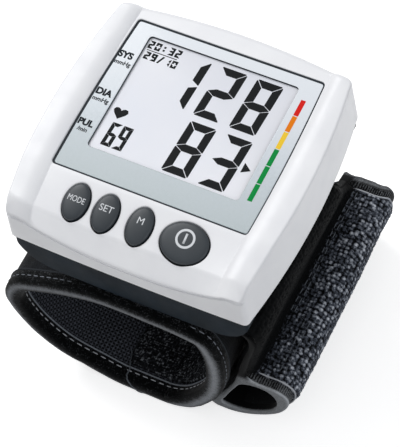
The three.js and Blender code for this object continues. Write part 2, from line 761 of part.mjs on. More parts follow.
// Port into the cuff, manifold on it and pressure sensor over it
const portBottom = loopHeight - sleeveThickness - gap - stiffenerThickness;
const portTop = floorTop + gap + portFlangeThickness + portRise;
const port = post(portAcross, 0, portBottom, portTop, portDiameter)
  .add(post(portAcross, 0, floorTop + gap, floorTop + gap + portFlangeThickness, portFlangeDiameter))
  .subtract(post(portAcross, 0, portBottom - overrun, portTop + overrun, portBore, undefined, smallSides));
addPart("cuff_port", port, paint.part);
const manifoldBase = portTop + gap;
const manifoldTop = manifoldBase + manifoldHeight;
const manifoldHalfLength = manifoldLength / 2;
const manifoldMiddle = (manifoldBase + manifoldTop) / 2;
const manifoldBore = post(portAcross, 0, manifoldBase - overrun, manifoldTop + overrun, portBore, undefined,
  smallSides);
const manifold = box(portAcross - manifoldWidth / 2, portAcross + manifoldWidth / 2, -manifoldHalfLength,
  manifoldHalfLength, manifoldBase, manifoldTop).subtract(manifoldBore);
addPart("air_manifold", manifold, paint.part);
const sensorBase = boardBase - gap - sensorHeight;
const sensor = box(portAcross - sensorSize / 2, portAcross + sensorSize / 2, -sensorSize / 2, sensorSize / 2,
  sensorBase, sensorBase + sensorHeight)
  .add(post(portAcross, 0, manifoldTop + gap, sensorBase + sensorHeight / 2, nozzleDiameter));
addPart("pressure_sensor", sensor, paint.steel);
const buzzerTop = boardBase - gap;
addPart("buzzer", post(buzzerAcross, buzzerAlong, buzzerTop - buzzerHeight, buzzerTop, buzzerDiameter),
  paint.part);

// Air hoses from the pump and from the valve to the manifold, bent through chosen points
function hose(name, points) {
  const path = new THREE.CatmullRomCurve3(points.map(([x, y, z]) => new THREE.Vector3(x, y, z)));
  const section = new THREE.Shape();
  section.absarc(0, 0, hoseDiameter / 2, 0, 2 * Math.PI);
  const geometry = new THREE.ExtrudeGeometry(section, {
    steps: hoseSteps,
    curveSegments: hoseSides / 2,
    extrudePath: path,
  });
  addPart(name, solid(geometry), paint.hose);
}
const pumpNozzleEnd = headRear + nozzleLength + gap;
const manifoldFace = manifoldHalfLength + gap;
hose("hose_pump", [
  [pumpAcross, pumpNozzleEnd, pumpCentre],
  [pumpAcross, pumpNozzleEnd + hoseDiameter, pumpCentre],
  [(pumpAcross + portAcross) / 2, pumpNozzleEnd + 2 * hoseDiameter, (pumpCentre + manifoldMiddle) / 2],
  [portAcross, pumpNozzleEnd, manifoldMiddle],
  [portAcross, (manifoldFace + pumpNozzleEnd) / 2, manifoldMiddle],
  [portAcross, manifoldFace, manifoldMiddle],
]);
const valveNozzleEnd = valveFront - nozzleLength - gap;
hose("hose_valve", [
  [valveAcross, valveNozzleEnd, valveCentre],
  [valveAcross, valveNozzleEnd - hoseDiameter / 2, valveCentre],
  [valveAcross - hoseDiameter, valveNozzleEnd - hoseDiameter, valveCentre],
  [valveAcross / 2, valveNozzleEnd - hoseDiameter / 2, valveCentre],
  [portAcross + hoseDiameter / 2, valveNozzleEnd + hoseDiameter, manifoldMiddle],
  [portAcross, (valveNozzleEnd - manifoldFace) / 2, manifoldMiddle],
  [portAcross, -manifoldFace, manifoldMiddle],
]);

// Closed outlines across X and Z: shares of a width and a height, joined by a smooth curve that
// runs flat where it would pass the resting plane or the height
function smoothOutline(shares, left, width, height, steps) {
  const points = shares.map(([across, up]) => new THREE.Vector3(left + across * width, up * height, 0));
  const curve = new THREE.CatmullRomCurve3(points, true, "centripetal");
  const within = (up) => Math.min(height, Math.max(0, up));
  const places = curve.getSpacedPoints(steps).slice(0, steps).map((p) => new THREE.Vector2(p.x, within(p.y)));
  const bends = (p, i) => {
    const before = places[(i + places.length - 1) % places.length];
    const after = places[(i + 1) % places.length];
    return p.y !== before.y || p.y !== after.y;
  };
  return places.filter(bends);
}

// The same outline moved in along its own normals
function insetOutline(outline, inset) {
  const count = outline.length;
  return outline.map((point, i) => {
    const before = outline[(i + count - 1) % count];
    const after = outline[(i + 1) % count];
    const along = after.clone().sub(before).normalize();
    return new THREE.Vector2(point.x - along.y * inset, point.y + along.x * inset);
  });
}

// A ring between two insets of an outline, or the part of it between two shares of its length
function ring(outline, outer, inner, from = 0, to = 1) {
  const outside = insetOutline(outline, outer);
  const inside = insetOutline(outline, inner);
  if (to - from >= 1) {
    const shape = new THREE.Shape(outside);
    shape.holes.push(new THREE.Path(inside.slice().reverse()));
    return shape;
  }
  const count = outline.length;
  const first = Math.round(from * count);
  const last = Math.round(to * count);
  const all = outside.map((_, i) => i);
  const run = [...all, ...all].slice(first, last).concat(last % count);
  return new THREE.Shape([...run.map((i) => outside[i]), ...run.reverse().map((i) => inside[i])]);
}

// Cuff outline, counter-clockwise seen from the buttons' end, from the bottom: shares of width and height
const cuffShares = [
  [0.46, 0], [0.68, 0], [0.785, 0.06], [0.88, 0.2], [0.955, 0.375], [0.998, 0.62], [0.995, 0.82],
  [0.955, 0.945], [0.86, 0.985], [0.72, 1], [0.5, 1], [0.33, 0.94], [0.19, 0.86], [0.07, 0.765],
  [0.001, 0.58], [0.033, 0.36], [0.11, 0.2], [0.2, 0.105], [0.34, 0.042],
];
const cuffLeft = loopOffset - loopWidth / 2;
const cuffOutline = smoothOutline(cuffShares, cuffLeft, loopWidth, loopHeight, loopSteps);
const stiffenerInset = sleeveThickness + gap;
const bladderInset = stiffenerInset + stiffenerThickness + gap;
const linerInset = bladderInset + bladderThickness + gap;
const cuffThickness = linerInset + linerThickness;
const cuffEnd = cuffLength / 2;
const clothEnd = cuffEnd - cuffBindingLength - gap;
const innerEnd = clothEnd - 2 * gap;
const portHole = post(portAcross, 0, portBottom - overrun / 4, loopHeight + overrun, portDiameter + 2 * gap);
addPart("cuff_sleeve", stretch(ring(cuffOutline, 0, sleeveThickness), -clothEnd, clothEnd).subtract(portHole),
  paint.cloth);
const liner = stretch(ring(cuffOutline, linerInset, cuffThickness), -clothEnd, clothEnd);
addPart("cuff_liner", liner, paint.cloth);
const stiffenerFromShare = 0.12;
const stiffenerToShare = 0.9;
const bladderFromShare = 0.3;
const bladderToShare = 0.86;
addPart("cuff_stiffener", stretch(ring(cuffOutline, stiffenerInset, stiffenerInset + stiffenerThickness,
  stiffenerFromShare, stiffenerToShare), -innerEnd, innerEnd).subtract(portHole), paint.part);
addPart("air_bladder", stretch(ring(cuffOutline, bladderInset, bladderInset + bladderThickness,
  bladderFromShare, bladderToShare), -innerEnd, innerEnd), paint.bladder);
const cuffSection = ring(cuffOutline, 0, cuffThickness);
addPart("cuff_binding_front", stretch(cuffSection, -cuffEnd, -cuffEnd + cuffBindingLength), paint.binding);
addPart("cuff_binding_rear", stretch(cuffSection, cuffEnd - cuffBindingLength, cuffEnd), paint.binding);
const patchFromShare = 0.01;
const patchToShare = 0.2;
const patchInset = cuffThickness + gap;
addPart("fastener_patch", stretch(ring(cuffOutline, patchInset, patchInset + patchThickness,
  patchFromShare, patchToShare), -innerEnd + patchInset, innerEnd - patchInset), paint.loopPile);

// Strap: a root held at the plate's edge, and a flap that hangs beside the cuff, curls up at its
// foot and comes back on itself. The flap swings about the outer edge of the root's end.
const strapRear = strapFront + strapLength;
const strapClothFront = strapFront + strapBindingLength + gap;
const strapClothRear = strapRear - strapBindingLength - gap;
const rootLeft = plateWidth / 2 + gap;
const rootWidth = 10.6;
const rootHeight = 3.9;
const rootDrop = 2.4;
const rootBase = plateBase - rootDrop;
const rootShares = [
  [0, 0.44], [0.46, 0.46], [0.68, 0.3], [0.81, 0], [1, 0.36], [0.8, 0.84], [0.5, 1], [0, 1],
];
// The strap's rear corner slopes away under the case: shares of the strap's length and height
const shoulderShares = [
  [0.726, 1], [0.806, 0.76], [0.871, 0.63], [0.922, 0.546], [0.968, 0.5], [1, 0.454],
];
const rootRear = strapFront + shoulderShares[0][0] * strapLength;
const rootOutline = new THREE.Shape(rootShares.map(([across, up]) => (
  new THREE.Vector2(rootLeft + across * rootWidth, rootBase + up * rootHeight))));
addPart("strap_root", stretch(rootOutline, strapFront, rootRear), paint.loopPile);
const strapWidth = 26.8;
const hingeRise = 1.1;
const strapHeight = rootBase + hingeRise;
const strapLeft = 12.4;
const strapShares = [
  [0.097, 0], [0.228, 0], [0.414, 0.03], [0.675, 0.122], [0.881, 0.235], [0.989, 0.361], [0.981, 0.441],
  [0.873, 0.485], [0.713, 0.485], [0.597, 0.496], [0.567, 0.546], [0.601, 0.63], [0.668, 0.759],
  [0.731, 0.87], [0.757, 0.944], [0.724, 0.994], [0.685, 0.984], [0.642, 0.966], [0.65, 0.915],
  [0.627, 0.852], [0.552, 0.741], [0.478, 0.611], [0.418, 0.491], [0.347, 0.376], [0.257, 0.274],
  [0.157, 0.178], [0.045, 0.093], [0.011, 0.037],
];
const curlShares = [
  [0.164, 0.067], [0.381, 0.069], [0.582, 0.128], [0.746, 0.211], [0.832, 0.306], [0.832, 0.393],
  [0.754, 0.443], [0.604, 0.443], [0.459, 0.4], [0.354, 0.304], [0.235, 0.17],
];
const strapBindingInset = 0.5;
function strapShape(inset) {
  const outside = smoothOutline(strapShares, strapLeft, strapWidth, strapHeight, strapSteps);
  const inside = smoothOutline(curlShares, strapLeft, strapWidth, strapHeight, strapSteps / 2);
  const rested = (p) => new THREE.Vector2(p.x, Math.max(0, p.y - inset));
  const shape = new THREE.Shape(insetOutline(outside, inset).map(rested));
  shape.holes.push(new THREE.Path(inside.reverse()));
  return shape;
}
const shoulder = shoulderShares.map(([along, up]) => (
  new THREE.Vector2(strapFront + along * strapLength, up * strapHeight)));
const shoulderTop = strapHeight + overrun;
const shoulderEnd = strapRear + overrun;
const aboveShoulder = new THREE.Shape([
  new THREE.Vector2(shoulder[0].x, shoulderTop), ...shoulder,
  new THREE.Vector2(shoulderEnd, shoulder.at(-1).y), new THREE.Vector2(shoulderEnd, shoulderTop),
]);
const crossed = new THREE.Matrix4().makeBasis(
  new THREE.Vector3(0, 1, 0), new THREE.Vector3(0, 0, 1), new THREE.Vector3(1, 0, 0));
const strapSide = strapLeft + strapWidth + overrun;
const cutAway = solid(prism(aboveShoulder, strapLeft, strapSide).applyMatrix4(crossed));
addPart("strap", stretch(strapShape(0), strapClothFront, strapClothRear).subtract(cutAway), paint.loopPile);
const strapEndShape = strapShape(strapBindingInset);
addPart("strap_binding_front", stretch(strapEndShape, strapFront, strapFront + strapBindingLength),
  paint.binding);
addPart("strap_binding_rear", stretch(strapEndShape, strapRear - strapBindingLength, strapRear)
  .subtract(cutAway), paint.binding);

export default object;
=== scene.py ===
import json
import math

import bmesh
import bpy
import numpy as np
from mathutils import Matrix, Vector
from mathutils.geometry import delaunay_2d_cdt
from mathutils.kdtree import KDTree


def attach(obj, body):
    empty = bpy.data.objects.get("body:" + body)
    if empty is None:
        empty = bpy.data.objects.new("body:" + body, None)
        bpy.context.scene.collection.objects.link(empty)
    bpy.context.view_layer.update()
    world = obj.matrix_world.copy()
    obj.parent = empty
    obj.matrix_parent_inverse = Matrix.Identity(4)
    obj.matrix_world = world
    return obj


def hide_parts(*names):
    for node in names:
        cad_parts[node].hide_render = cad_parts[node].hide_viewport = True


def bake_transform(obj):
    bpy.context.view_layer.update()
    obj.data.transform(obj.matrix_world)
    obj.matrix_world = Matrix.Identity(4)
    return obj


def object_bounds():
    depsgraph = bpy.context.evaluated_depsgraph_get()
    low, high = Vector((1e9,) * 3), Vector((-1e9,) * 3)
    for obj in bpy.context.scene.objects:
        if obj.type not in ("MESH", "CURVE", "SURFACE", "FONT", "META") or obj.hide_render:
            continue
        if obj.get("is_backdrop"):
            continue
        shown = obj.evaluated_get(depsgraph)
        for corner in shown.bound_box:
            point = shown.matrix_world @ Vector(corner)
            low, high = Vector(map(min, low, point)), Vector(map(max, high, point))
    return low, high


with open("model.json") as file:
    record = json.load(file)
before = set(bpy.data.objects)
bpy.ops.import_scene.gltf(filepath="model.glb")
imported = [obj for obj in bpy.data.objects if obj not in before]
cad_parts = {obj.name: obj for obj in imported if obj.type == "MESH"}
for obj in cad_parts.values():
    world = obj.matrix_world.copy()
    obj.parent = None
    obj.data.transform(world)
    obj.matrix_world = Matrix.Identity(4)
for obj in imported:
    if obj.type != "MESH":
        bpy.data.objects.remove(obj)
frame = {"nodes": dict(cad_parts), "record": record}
cad_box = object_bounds()
nodes = frame["nodes"]
noise_source = np.random.default_rng(7)

# Lengths below are in millimetres, in the frame of the CAD part
MM = 0.001

# The photograph's camera
IMAGE_HEIGHT = 447
FOCAL_PIXELS = 2228
SENSOR = 36
CAMERA_PLACE = (188.4, -231.5, 553.8)
CAMERA_RIGHT = (0.887, 0.444, -0.125)
CAMERA_UP = (-0.335, 0.806, 0.488)
CAMERA_BACK = (0.318, -0.391, 0.864)
# In metres
CAMERA_SIGHT = 20

# The case, as the part has it
CASE_WIDTH = 68
CASE_LENGTH = 67
SIDE_BOW = 2.7
FRONT_BOW = 0.3
REAR_BOW = 2.3
FRONT_CORNER_RADIUS = 1.8
REAR_CORNER_RADIUS = 3.4
UPPER_HEIGHT = 15.1
WALL = 2
CEILING = 3.2
FRONT_LEAN = 0.9
SIDE_LEAN = 0.6
RIM = 68.2
DISPLAY_PLANE = RIM + UPPER_HEIGHT
CREASE_REACH = 27.75
CREASE_DRAW = 1.65
CREASE_MIDDLE = 8
SIDE_RISE = 1.3
SIDE_RISE_SHARE = 0.7
SIDE_RISE_POWER = 3.2
SIDE_EDGE_FALL = 0.35
SLOPE_DROP = 3.75
WATERFALL_DROP = 5.3
GROOVE_HEIGHTS = [0.985, 0.96, 0.9, 0.875]
GROOVE_DEPTH = 0.5
WATERFALL_START = 0.76
WATERFALL_POWER = 1.3
SMILE_SHARE = 0.4
SMILE_POWER = 2.5
FRONT_EDGE_RADIUS = 0.35
SIDE_EDGE_RADIUS = 0.6
REAR_EDGE_RADIUS = 1.5

# The display window and what it shows
WINDOW_FRONT = -16.9
WINDOW_REAR = 29.7
WINDOW_HALF_WIDTH = 27.3
WINDOW_TAPER = 0.03
WINDOW_BOW = 0.5
WINDOW_RADIUS = 1.0
WINDOW_SINK = 0.1
WINDOW_THICKNESS = 1.6
SLOPE_START = WINDOW_FRONT - 0.8
LCD_LEFT = -21.5
LCD_RIGHT = 21.2
LCD_FRONT = -9.3
LCD_REAR = 26.3
LCD_CORNER = 1.2
LCD_DEPTH = 0.7

# The buttons: body, node, place across, half width, half length, legend, its size and its shift
BUTTON_ROW = -24.4
BUTTON_GAP = 0.3
BUTTON_PROUD = 0.9
BUTTON_DEPTH = 5.9
BUTTONS = [
    ("mode_button", "button_mode", -16.6, 3.25, 4.9, "MODE", 2.25, 0.5),
    ("set_button", "button_set", -8.3, 3.25, 4.9, "SET", 2.5, 1.0),
    ("memory_button", "button_memory", 1.3, 3.25, 4.9, "M", 2.6, 1.2),
    ("power_button", "button_power", 13.8, 6.4, 5.15, None, 2.55, 1.0),
]

# The cuff and the strap
LOOP_WIDTH = 66
LOOP_HEIGHT = 55
LOOP_LEFT = -42.8
CUFF_END = 35.6
CUFF_THICKNESS = 4.4
STRAP_FRONT = -30.5
STRAP_REAR = 38.4
STRAP_LEFT = 12.4
STRAP_WIDTH = 26.8
STRAP_HEIGHT = 54
STRAP_TAPE_WIDTH = 3.5

# Section of the cuff, from the bottom, counter-clockwise seen from the buttons' end
CUFF_SHARES = [
    (0.46, 0), (0.68, 0), (0.785, 0.06), (0.88, 0.2), (0.955, 0.375), (0.998, 0.62), (0.995, 0.82),
    (0.955, 0.945), (0.86, 0.985), (0.72, 1), (0.5, 1), (0.33, 0.94), (0.19, 0.86), (0.07, 0.765),
    (0.001, 0.58), (0.033, 0.36), (0.11, 0.2), (0.2, 0.105), (0.34, 0.042),
]
# Section of the strap and its root, from the bottom, and of the room in its curl
STRAP_SHARES = [
    (0.097, 0), (0.228, 0), (0.414, 0.03), (0.675, 0.122), (0.881, 0.235), (0.989, 0.361), (0.981, 0.441),
    (0.873, 0.485), (0.713, 0.485), (0.597, 0.496), (0.567, 0.546), (0.601, 0.63), (0.668, 0.759),
    (0.731, 0.87), (0.757, 0.944), (0.735, 1.005), (0.649, 1.041), (0.53, 1.052), (0.336, 1.052),
    (0.336, 1.011), (0.515, 1.012), (0.6, 0.998), (0.642, 0.966), (0.65, 0.915),
    (0.627, 0.852), (0.552, 0.741), (0.478, 0.611), (0.418, 0.491), (0.347, 0.376), (0.257, 0.274),
    (0.157, 0.178), (0.045, 0.093), (0.011, 0.037),
]
# The strap's rear corner slopes away under the case: heights, and how far back the strap goes there
SHOULDER_HEIGHTS = [24.5, 27, 29.5, 34, 41, 54]
SHOULDER_REAR = [STRAP_REAR, 36.2, 33, 29.5, 25, 19.5]
CURL_SHARES = [
    (0.164, 0.067), (0.381, 0.069), (0.582, 0.128), (0.746, 0.211), (0.832, 0.306), (0.832, 0.393),
    (0.754, 0.443), (0.604, 0.443), (0.459, 0.4), (0.354, 0.304), (0.235, 0.17),
]


def linear(code):
    """A colour written as it looks, in six hex digits, as the shader's linear values."""
    parts = [int(code[i:i + 2], 16) / 255 for i in (0, 2, 4)]
    return [c / 12.92 if c <= 0.04045 else ((c + 0.055) / 1.055) ** 2.4 for c in parts]


class Look:
    """A material and the few nodes that its finish is made of."""

    def __init__(self, name, color, roughness, **sockets):
        self.material = bpy.data.materials.new(name)
        self.material.use_nodes = True
        self.tree = self.material.node_tree
        self.shader = self.tree.nodes["Principled BSDF"]
        self.shader.inputs["Base Color"].default_value = (*linear(color), 1)
        self.shader.inputs["Roughness"].default_value = roughness
        for label, value in sockets.items():
            socket = self.shader.inputs[label.replace("_", " ").title().replace("Ior", "IOR")]
            socket.default_value = (*linear(value), 1) if isinstance(value, str) else value
        self.place = self.tree.nodes.new("ShaderNodeTexCoord").outputs["Object"]

    def link(self, source, target):
        self.tree.links.new(source, target)

    def noise(self, size, detail=3, stretch=(1, 1, 1)):
        """Cloudy noise whose patches are about as wide as size, in millimetres."""
        mapping = self.tree.nodes.new("ShaderNodeMapping")
        mapping.inputs["Scale"].default_value = stretch
        self.link(self.place, mapping.inputs["Vector"])
        node = self.tree.nodes.new("ShaderNodeTexNoise")
        node.inputs["Scale"].default_value = 1 / (size * MM)
        node.inputs["Detail"].default_value = detail
        self.link(mapping.outputs["Vector"], node.inputs["Vector"])
        return node.outputs["Fac"]

    def attribute(self, name):
        node = self.tree.nodes.new("ShaderNodeAttribute")
        node.attribute_name = name
        return node.outputs["Fac"]

    def cloth_place(self):
        """Place on the cloth, in metres along and across it."""
        node = self.tree.nodes.new("ShaderNodeUVMap")
        node.uv_map = "cloth"
        return node.outputs["UV"]

    def split(self, vector):
        """The three coordinates of a vector."""
        node = self.tree.nodes.new("ShaderNodeSeparateXYZ")
        self.link(vector, node.inputs[0])
        return node.outputs

    def math(self, operation, first, second=0.0):
        node = self.tree.nodes.new("ShaderNodeMath")
        node.operation = operation
        for socket, value in zip(node.inputs, (first, second)):
            if isinstance(value, (int, float)):
                socket.default_value = value
            else:
                self.link(value, socket)
        return node.outputs[0]

    def cloud(self, size, detail, strength):
        """Noise about zero, whose patches are about as wide as size."""
        return self.math("MULTIPLY", self.math("SUBTRACT", self.noise(size, detail), 0.5), strength)

    def ramp(self, factor, stops):
        node = self.tree.nodes.new("ShaderNodeValToRGB")
        elements = node.color_ramp.elements
        while len(elements) < len(stops):
            elements.new(0.5)
        for element, (position, color) in zip(elements, stops):
            element.position = position
            element.color = (*linear(color), 1) if isinstance(color, str) else (color, color, color, 1)
        self.link(factor, node.inputs["Fac"])
        return node.outputs["Color"]

    def color(self, factor, stops):
        self.link(self.ramp(factor, stops), self.shader.inputs["Base Color"])

    def roughness(self, factor, low, high):
        self.link(self.ramp(factor, [(0.25, low), (0.75, high)]), self.shader.inputs["Roughness"])

    def bump(self, height, depth, strength=1.0):
        """Relief of a depth in millimetres, over any relief given before."""
        node = self.tree.nodes.new("ShaderNodeBump")
        node.inputs["Distance"].default_value = depth * MM
        node.inputs["Strength"].default_value = strength
        self.link(height, node.inputs["Height"])
        socket = self.shader.inputs["Normal"]
        if socket.links:
            self.link(socket.links[0].from_socket, node.inputs["Normal"])
        self.link(node.outputs["Normal"], socket)

    def wave(self, place, pitch):
        return self.math("SINE", self.math("MULTIPLY", place, 2 * math.pi / (pitch * MM)))

    def weave(self, pitch):
        """Height of a plain weave, from the place on the cloth."""
        along, across, _ = self.split(self.cloth_place())
        return self.math("MULTIPLY", self.wave(along, pitch), self.wave(across, pitch))


def plastic(name, dark, light, roughness, grain=0.35, **sockets):
    """Moulded plastic: a slight cloudiness, fine grain and worn patches in its gloss."""
    look = Look(name, light, roughness, **sockets)
    look.color(look.noise(9), [(0.3, dark), (0.7, light)])
    look.roughness(look.noise(3.5), roughness - 0.05, roughness + 0.06)
    look.bump(look.noise(grain, 2), 0.006, 0.35)
    return look.material


def metal(name, dark, light, roughness):
    look = Look(name, light, roughness, metallic=1.0)
    look.color(look.noise(1.5), [(0.3, dark), (0.7, light)])
    look.roughness(look.noise(0.4, stretch=(1, 0.1, 1)), roughness - 0.08, roughness + 0.12)
    look.bump(look.noise(0.25, stretch=(1, 0.1, 1)), 0.004, 0.4)
    return look.material


def ink(name, color, roughness=0.45, specular=0.3):
    look = Look(name, color, roughness, specular_ior_level=specular)
    look.roughness(look.noise(0.5), roughness - 0.05, roughness + 0.05)
    return look.material


WHITE = plastic("white_shell", "e9eaee", "eff0f3", 0.34)
SLATE = plastic("dark_shell", "0e151b", "18222b", 0.5, specular_ior_level=0.03)
BUTTON = plastic("button_plastic", "20272d", "293036", 0.4, 0.25, specular_ior_level=0.4)
# Dark edge in the gap round the pane and on the walls of the display's opening
DARK_EDGE = plastic("window_edge", "20262b", "272e34", 0.45, specular_ior_level=0.1)
BLACK = plastic("black_plastic", "15171a", "1c1f22", 0.5, specular_ior_level=0.25)
FRAME_GREY = plastic("frame_plastic", "c4c7cb", "cdd0d4", 0.55)
STEEL = metal("steel", "a9acb0", "c3c6c9", 0.3)
CAN = metal("cell_can", "4a5056", "596067", 0.36)
LCD_INK = ink("lcd_ink", "181a1c", 0.4, 0.05)
PRINT_INK = ink("print_ink", "1b2026", 0.4, 0.05)
LEGEND = ink("white_legend", "d9dce0", 0.4)
THREAD = ink("pale_thread", "b4b7bd", 0.85, 0.1)
# A darker copy of the pale thread, as painted shade on the outer stitch rows; the inner piping has it too
DARK_THREAD = ink("grey_thread", "7d828a", 0.85, 0.1)
DIM_THREAD = ink("dim_thread", "5d6268", 0.85, 0.05)
# A still darker copy, as painted shade on the stitches under the case; the outer piping has it too
SHADE_THREAD = ink("shade_thread", "34373b", 0.85, 0.05)


def panel_material():
    look = Look("window_panel", "c3cbd0", 0.3, specular_ior_level=0.25, coat_weight=0.25, coat_roughness=0.06)
    # Paler towards the rear: partly a printed gradient, partly painted reflection
    along = look.math("SUBTRACT", look.split(look.place)[1], WINDOW_FRONT * MM)
    along = look.math("MULTIPLY", along, 1 / ((WINDOW_REAR - WINDOW_FRONT) * MM))
    look.color(look.math("ADD", along, look.cloud(0.5, 4, 0.16)),
               [(0.0, "abb6ba"), (0.22, "b5bfc5"), (0.45, "cdd5dc"), (0.75, "dfe4ea"), (1.0, "e5eaf0")])
    return look.material


def lcd_material():
    look = Look("display_panel", "e2e4ea", 0.25, specular_ior_level=0.2, coat_weight=0.2, coat_roughness=0.08)
    look.color(look.noise(30), [(0.3, "dcdfe8"), (0.7, "e5e6ec")])
    look.bump(look.noise(0.3, 2), 0.002, 0.3)
    return look.material


def board_material():
    look = Look("board", "1f5a3a", 0.4)
    look.color(look.noise(2.5, 1, stretch=(1, 3, 1)), [(0.45, "17492f"), (0.52, "23663f")])
    look.bump(look.noise(1.2), 0.03)
    return look.material


def rubber_material(name, dark, light):
    look = Look(name, light, 0.7)
    look.color(look.noise(4), [(0.3, dark), (0.7, light)])
    look.bump(look.noise(0.3, 2), 0.01, 0.5)
    return look.material


def woven(name, dark, light, pitch, depth):
    """Woven cloth: threads over and under, fluff, and broad patches of wear."""
    look = Look(name, light, 0.85, specular_ior_level=0.05, sheen_weight=0.06, sheen_roughness=0.5)
    weave = look.weave(pitch)
    mix = look.math("ADD", look.math("MULTIPLY", weave, 0.2), 0.5)
    for size, detail, strength in ((6, 3, 0.8), (0.35, 4, 0.9)):
        mix = look.math("ADD", mix, look.cloud(size, detail, strength))
    look.color(mix, [(0.2, dark), (0.85, light)])
    look.bump(weave, depth)
    look.bump(look.noise(0.2, 3), depth * 0.8, 0.6)
    return look.material


def mesh_cloth(name, dark, light, pitch, depth):
    """Knitted spacer mesh: a grid of pale threads over a dark ground."""
    look = Look(name, light, 0.8, specular_ior_level=0.05)
    threads = [look.math("POWER", look.math("ABSOLUTE", look.wave(place, 2 * pitch)), 4)
               for place in look.split(look.cloth_place())[:2]]
    grid = look.math("MAXIMUM", *threads)
    crossing = look.math("MULTIPLY", look.math("ADD", look.weave(2 * pitch), 2.6), 0.28)
    shade = look.math("ADD", look.math("MULTIPLY", grid, crossing), look.cloud(0.3, 4, 0.6))
    look.color(shade, [(0.12, dark), (0.95, light)])
    look.bump(grid, depth)
    look.bump(look.noise(0.2, 3), depth * 0.5, 0.6)
    return look.material


def felt(name, dark, light, ribs=0.0):
    """Fuzzy tape, paler and darker where the attribute paints light and shade on it, with fine ribs if it has
    them.
    """
    look = Look(name, light, 0.85, specular_ior_level=0.03, sheen_weight=0.12, sheen_roughness=0.4)
    mix = look.math("ADD", look.attribute("tone_and_painted_light"), look.cloud(0.35, 4, 0.8))
    mix = look.math("ADD", mix, look.cloud(1.6, 2, 0.3))
    if ribs:
        waves = look.wave(look.split(look.cloth_place())[0], ribs)
        mix = look.math("ADD", mix, look.math("MULTIPLY", waves, 0.13))
        look.bump(waves, 0.05)
    look.color(mix, [(0.0, dark), (1.0, light)])
    look.bump(look.noise(0.25, 3), 0.03, 0.7)
    return look.material


def pile_material(name, dark, middle, light):
    """Looped cloth: pale as a painted highlight where a loop stands up, near black as painted shade between
    the loops.
    """
    look = Look(name, middle, 0.75, specular_ior_level=0.05)
    look.color(look.math("ADD", look.attribute("tone_and_painted_light"), look.cloud(0.45, 2, 0.9)),
               [(0.14, dark), (0.45, middle), (0.95, light)])
    look.bump(look.noise(0.25, 2), 0.02, 0.5)
    return look.material


PANEL = panel_material()
LCD = lcd_material()
BOARD = board_material()
MAT_RUBBER = rubber_material("mat_rubber", "83878b", "909498")
HOSE_RUBBER = rubber_material("hose_rubber", "cfd2d2", "dcdfdf")
FILM = rubber_material("bladder_film", "62717b", "74848f")
SLEEVE = woven("cuff_cloth", "090a0c", "22252a", 0.6, 0.05)
LINER = mesh_cloth("liner_mesh", "030304", "5a5e67", 0.95, 0.12)
TAPE = felt("cuff_tape", "060708", "a6aab0")
STRAP_TAPE = felt("strap_tape", "090a0b", "b4b8bd", 0.7)
PILE = pile_material("loop_pile", "040506", "515660", "d4d9e2")
HOOK = pile_material("hook_pad", "020202", "1c1e22", "8c9197")


# Edges that turn by more degrees than this look sharp
SHARP = 34


def new_object(name, data):
    made = bpy.data.objects.new(name, data)
    bpy.context.scene.collection.objects.link(made)
    return made


def reshape(mesh, change):
    shaped = bmesh.new()
    shaped.from_mesh(mesh)
    change(shaped)
    shaped.to_mesh(mesh)
    shaped.free()


def make_piece(name, points, faces, material, body, slot=None, replaces=(), sharp=SHARP, uv=None, tone_and_painted_light=None):
    """A piece from points in millimetres. uv holds each point's place on the cloth, in millimetres."""
    mesh = bpy.data.meshes.new(name)
    mesh.from_pydata(np.asarray(points, float) * MM, [], faces)
    # The colour attribute: the loops' own tone, with painted light and shade
    if tone_and_painted_light is not None:
        layer = mesh.attributes.new("tone_and_painted_light", "FLOAT", "POINT")
        layer.data.foreach_set("value", np.asarray(tone_and_painted_light, np.float32))
    if uv is not None:
        layer = mesh.uv_layers.new(name="cloth")
        corners = np.zeros(len(mesh.loops), np.int32)
        mesh.loops.foreach_get("vertex_index", corners)
        layer.data.foreach_set("uv", (np.asarray(uv, np.float32)[corners] * MM).ravel())
    reshape(mesh, lambda shaped: bmesh.ops.recalc_face_normals(shaped, faces=shaped.faces))
    mesh.shade_smooth()
    if sharp:
        mesh.set_sharp_from_angle(angle=math.radians(sharp))
    mesh.materials.append(material)
    piece = new_object(name, mesh)
    if body:
        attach(piece, body)
    if replaces:
        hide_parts(*replaces)
    return piece


def cut(piece, low, high):
    """Cuts a box out of a piece."""
    corners = [[(low, high)[i][0], (low, high)[j][1], (low, high)[k][2]]
               for i in (0, 1) for j in (0, 1) for k in (0, 1)]
    faces = [(0, 1, 3, 2), (4, 6, 7, 5), (0, 4, 5, 1), (2, 3, 7, 6), (0, 2, 6, 4), (1, 5, 7, 3)]
    tool = make_piece("cutter", corners, faces, piece.data.materials[0], None)
    modifier = piece.modifiers.new("cut", "BOOLEAN")
    modifier.operation = "DIFFERENCE"
    modifier.solver = "EXACT"
    modifier.object = tool
    mesh = final_mesh(piece)
    piece.modifiers.clear()
    piece.data = mesh
    mesh.shade_smooth()
    mesh.set_sharp_from_angle(angle=math.radians(SHARP))
    bpy.data.objects.remove(tool)


def final_mesh(thing):
    """A mesh of the object as its modifiers or its curve make it."""
    bpy.context.view_layer.update()
    return bpy.data.meshes.new_from_object(thing.evaluated_get(bpy.context.evaluated_depsgraph_get()))


def stack(rings, close=False):
    """Points and faces of a skin over closed rings of the same count, one after another."""
    count = len(rings[0])
    step = np.arange(count)
    after = (step + 1) % count
    faces = []
    for row in range(len(rings) if close else len(rings) - 1):
        a = row * count
        b = ((row + 1) % len(rings)) * count
        faces += np.stack([a + step, a + after, b + after, b + step], 1).tolist()
    if not close:
        faces.append(step[::-1].tolist())
        faces.append((step + (len(rings) - 1) * count).tolist())
    return np.concatenate(rings), faces


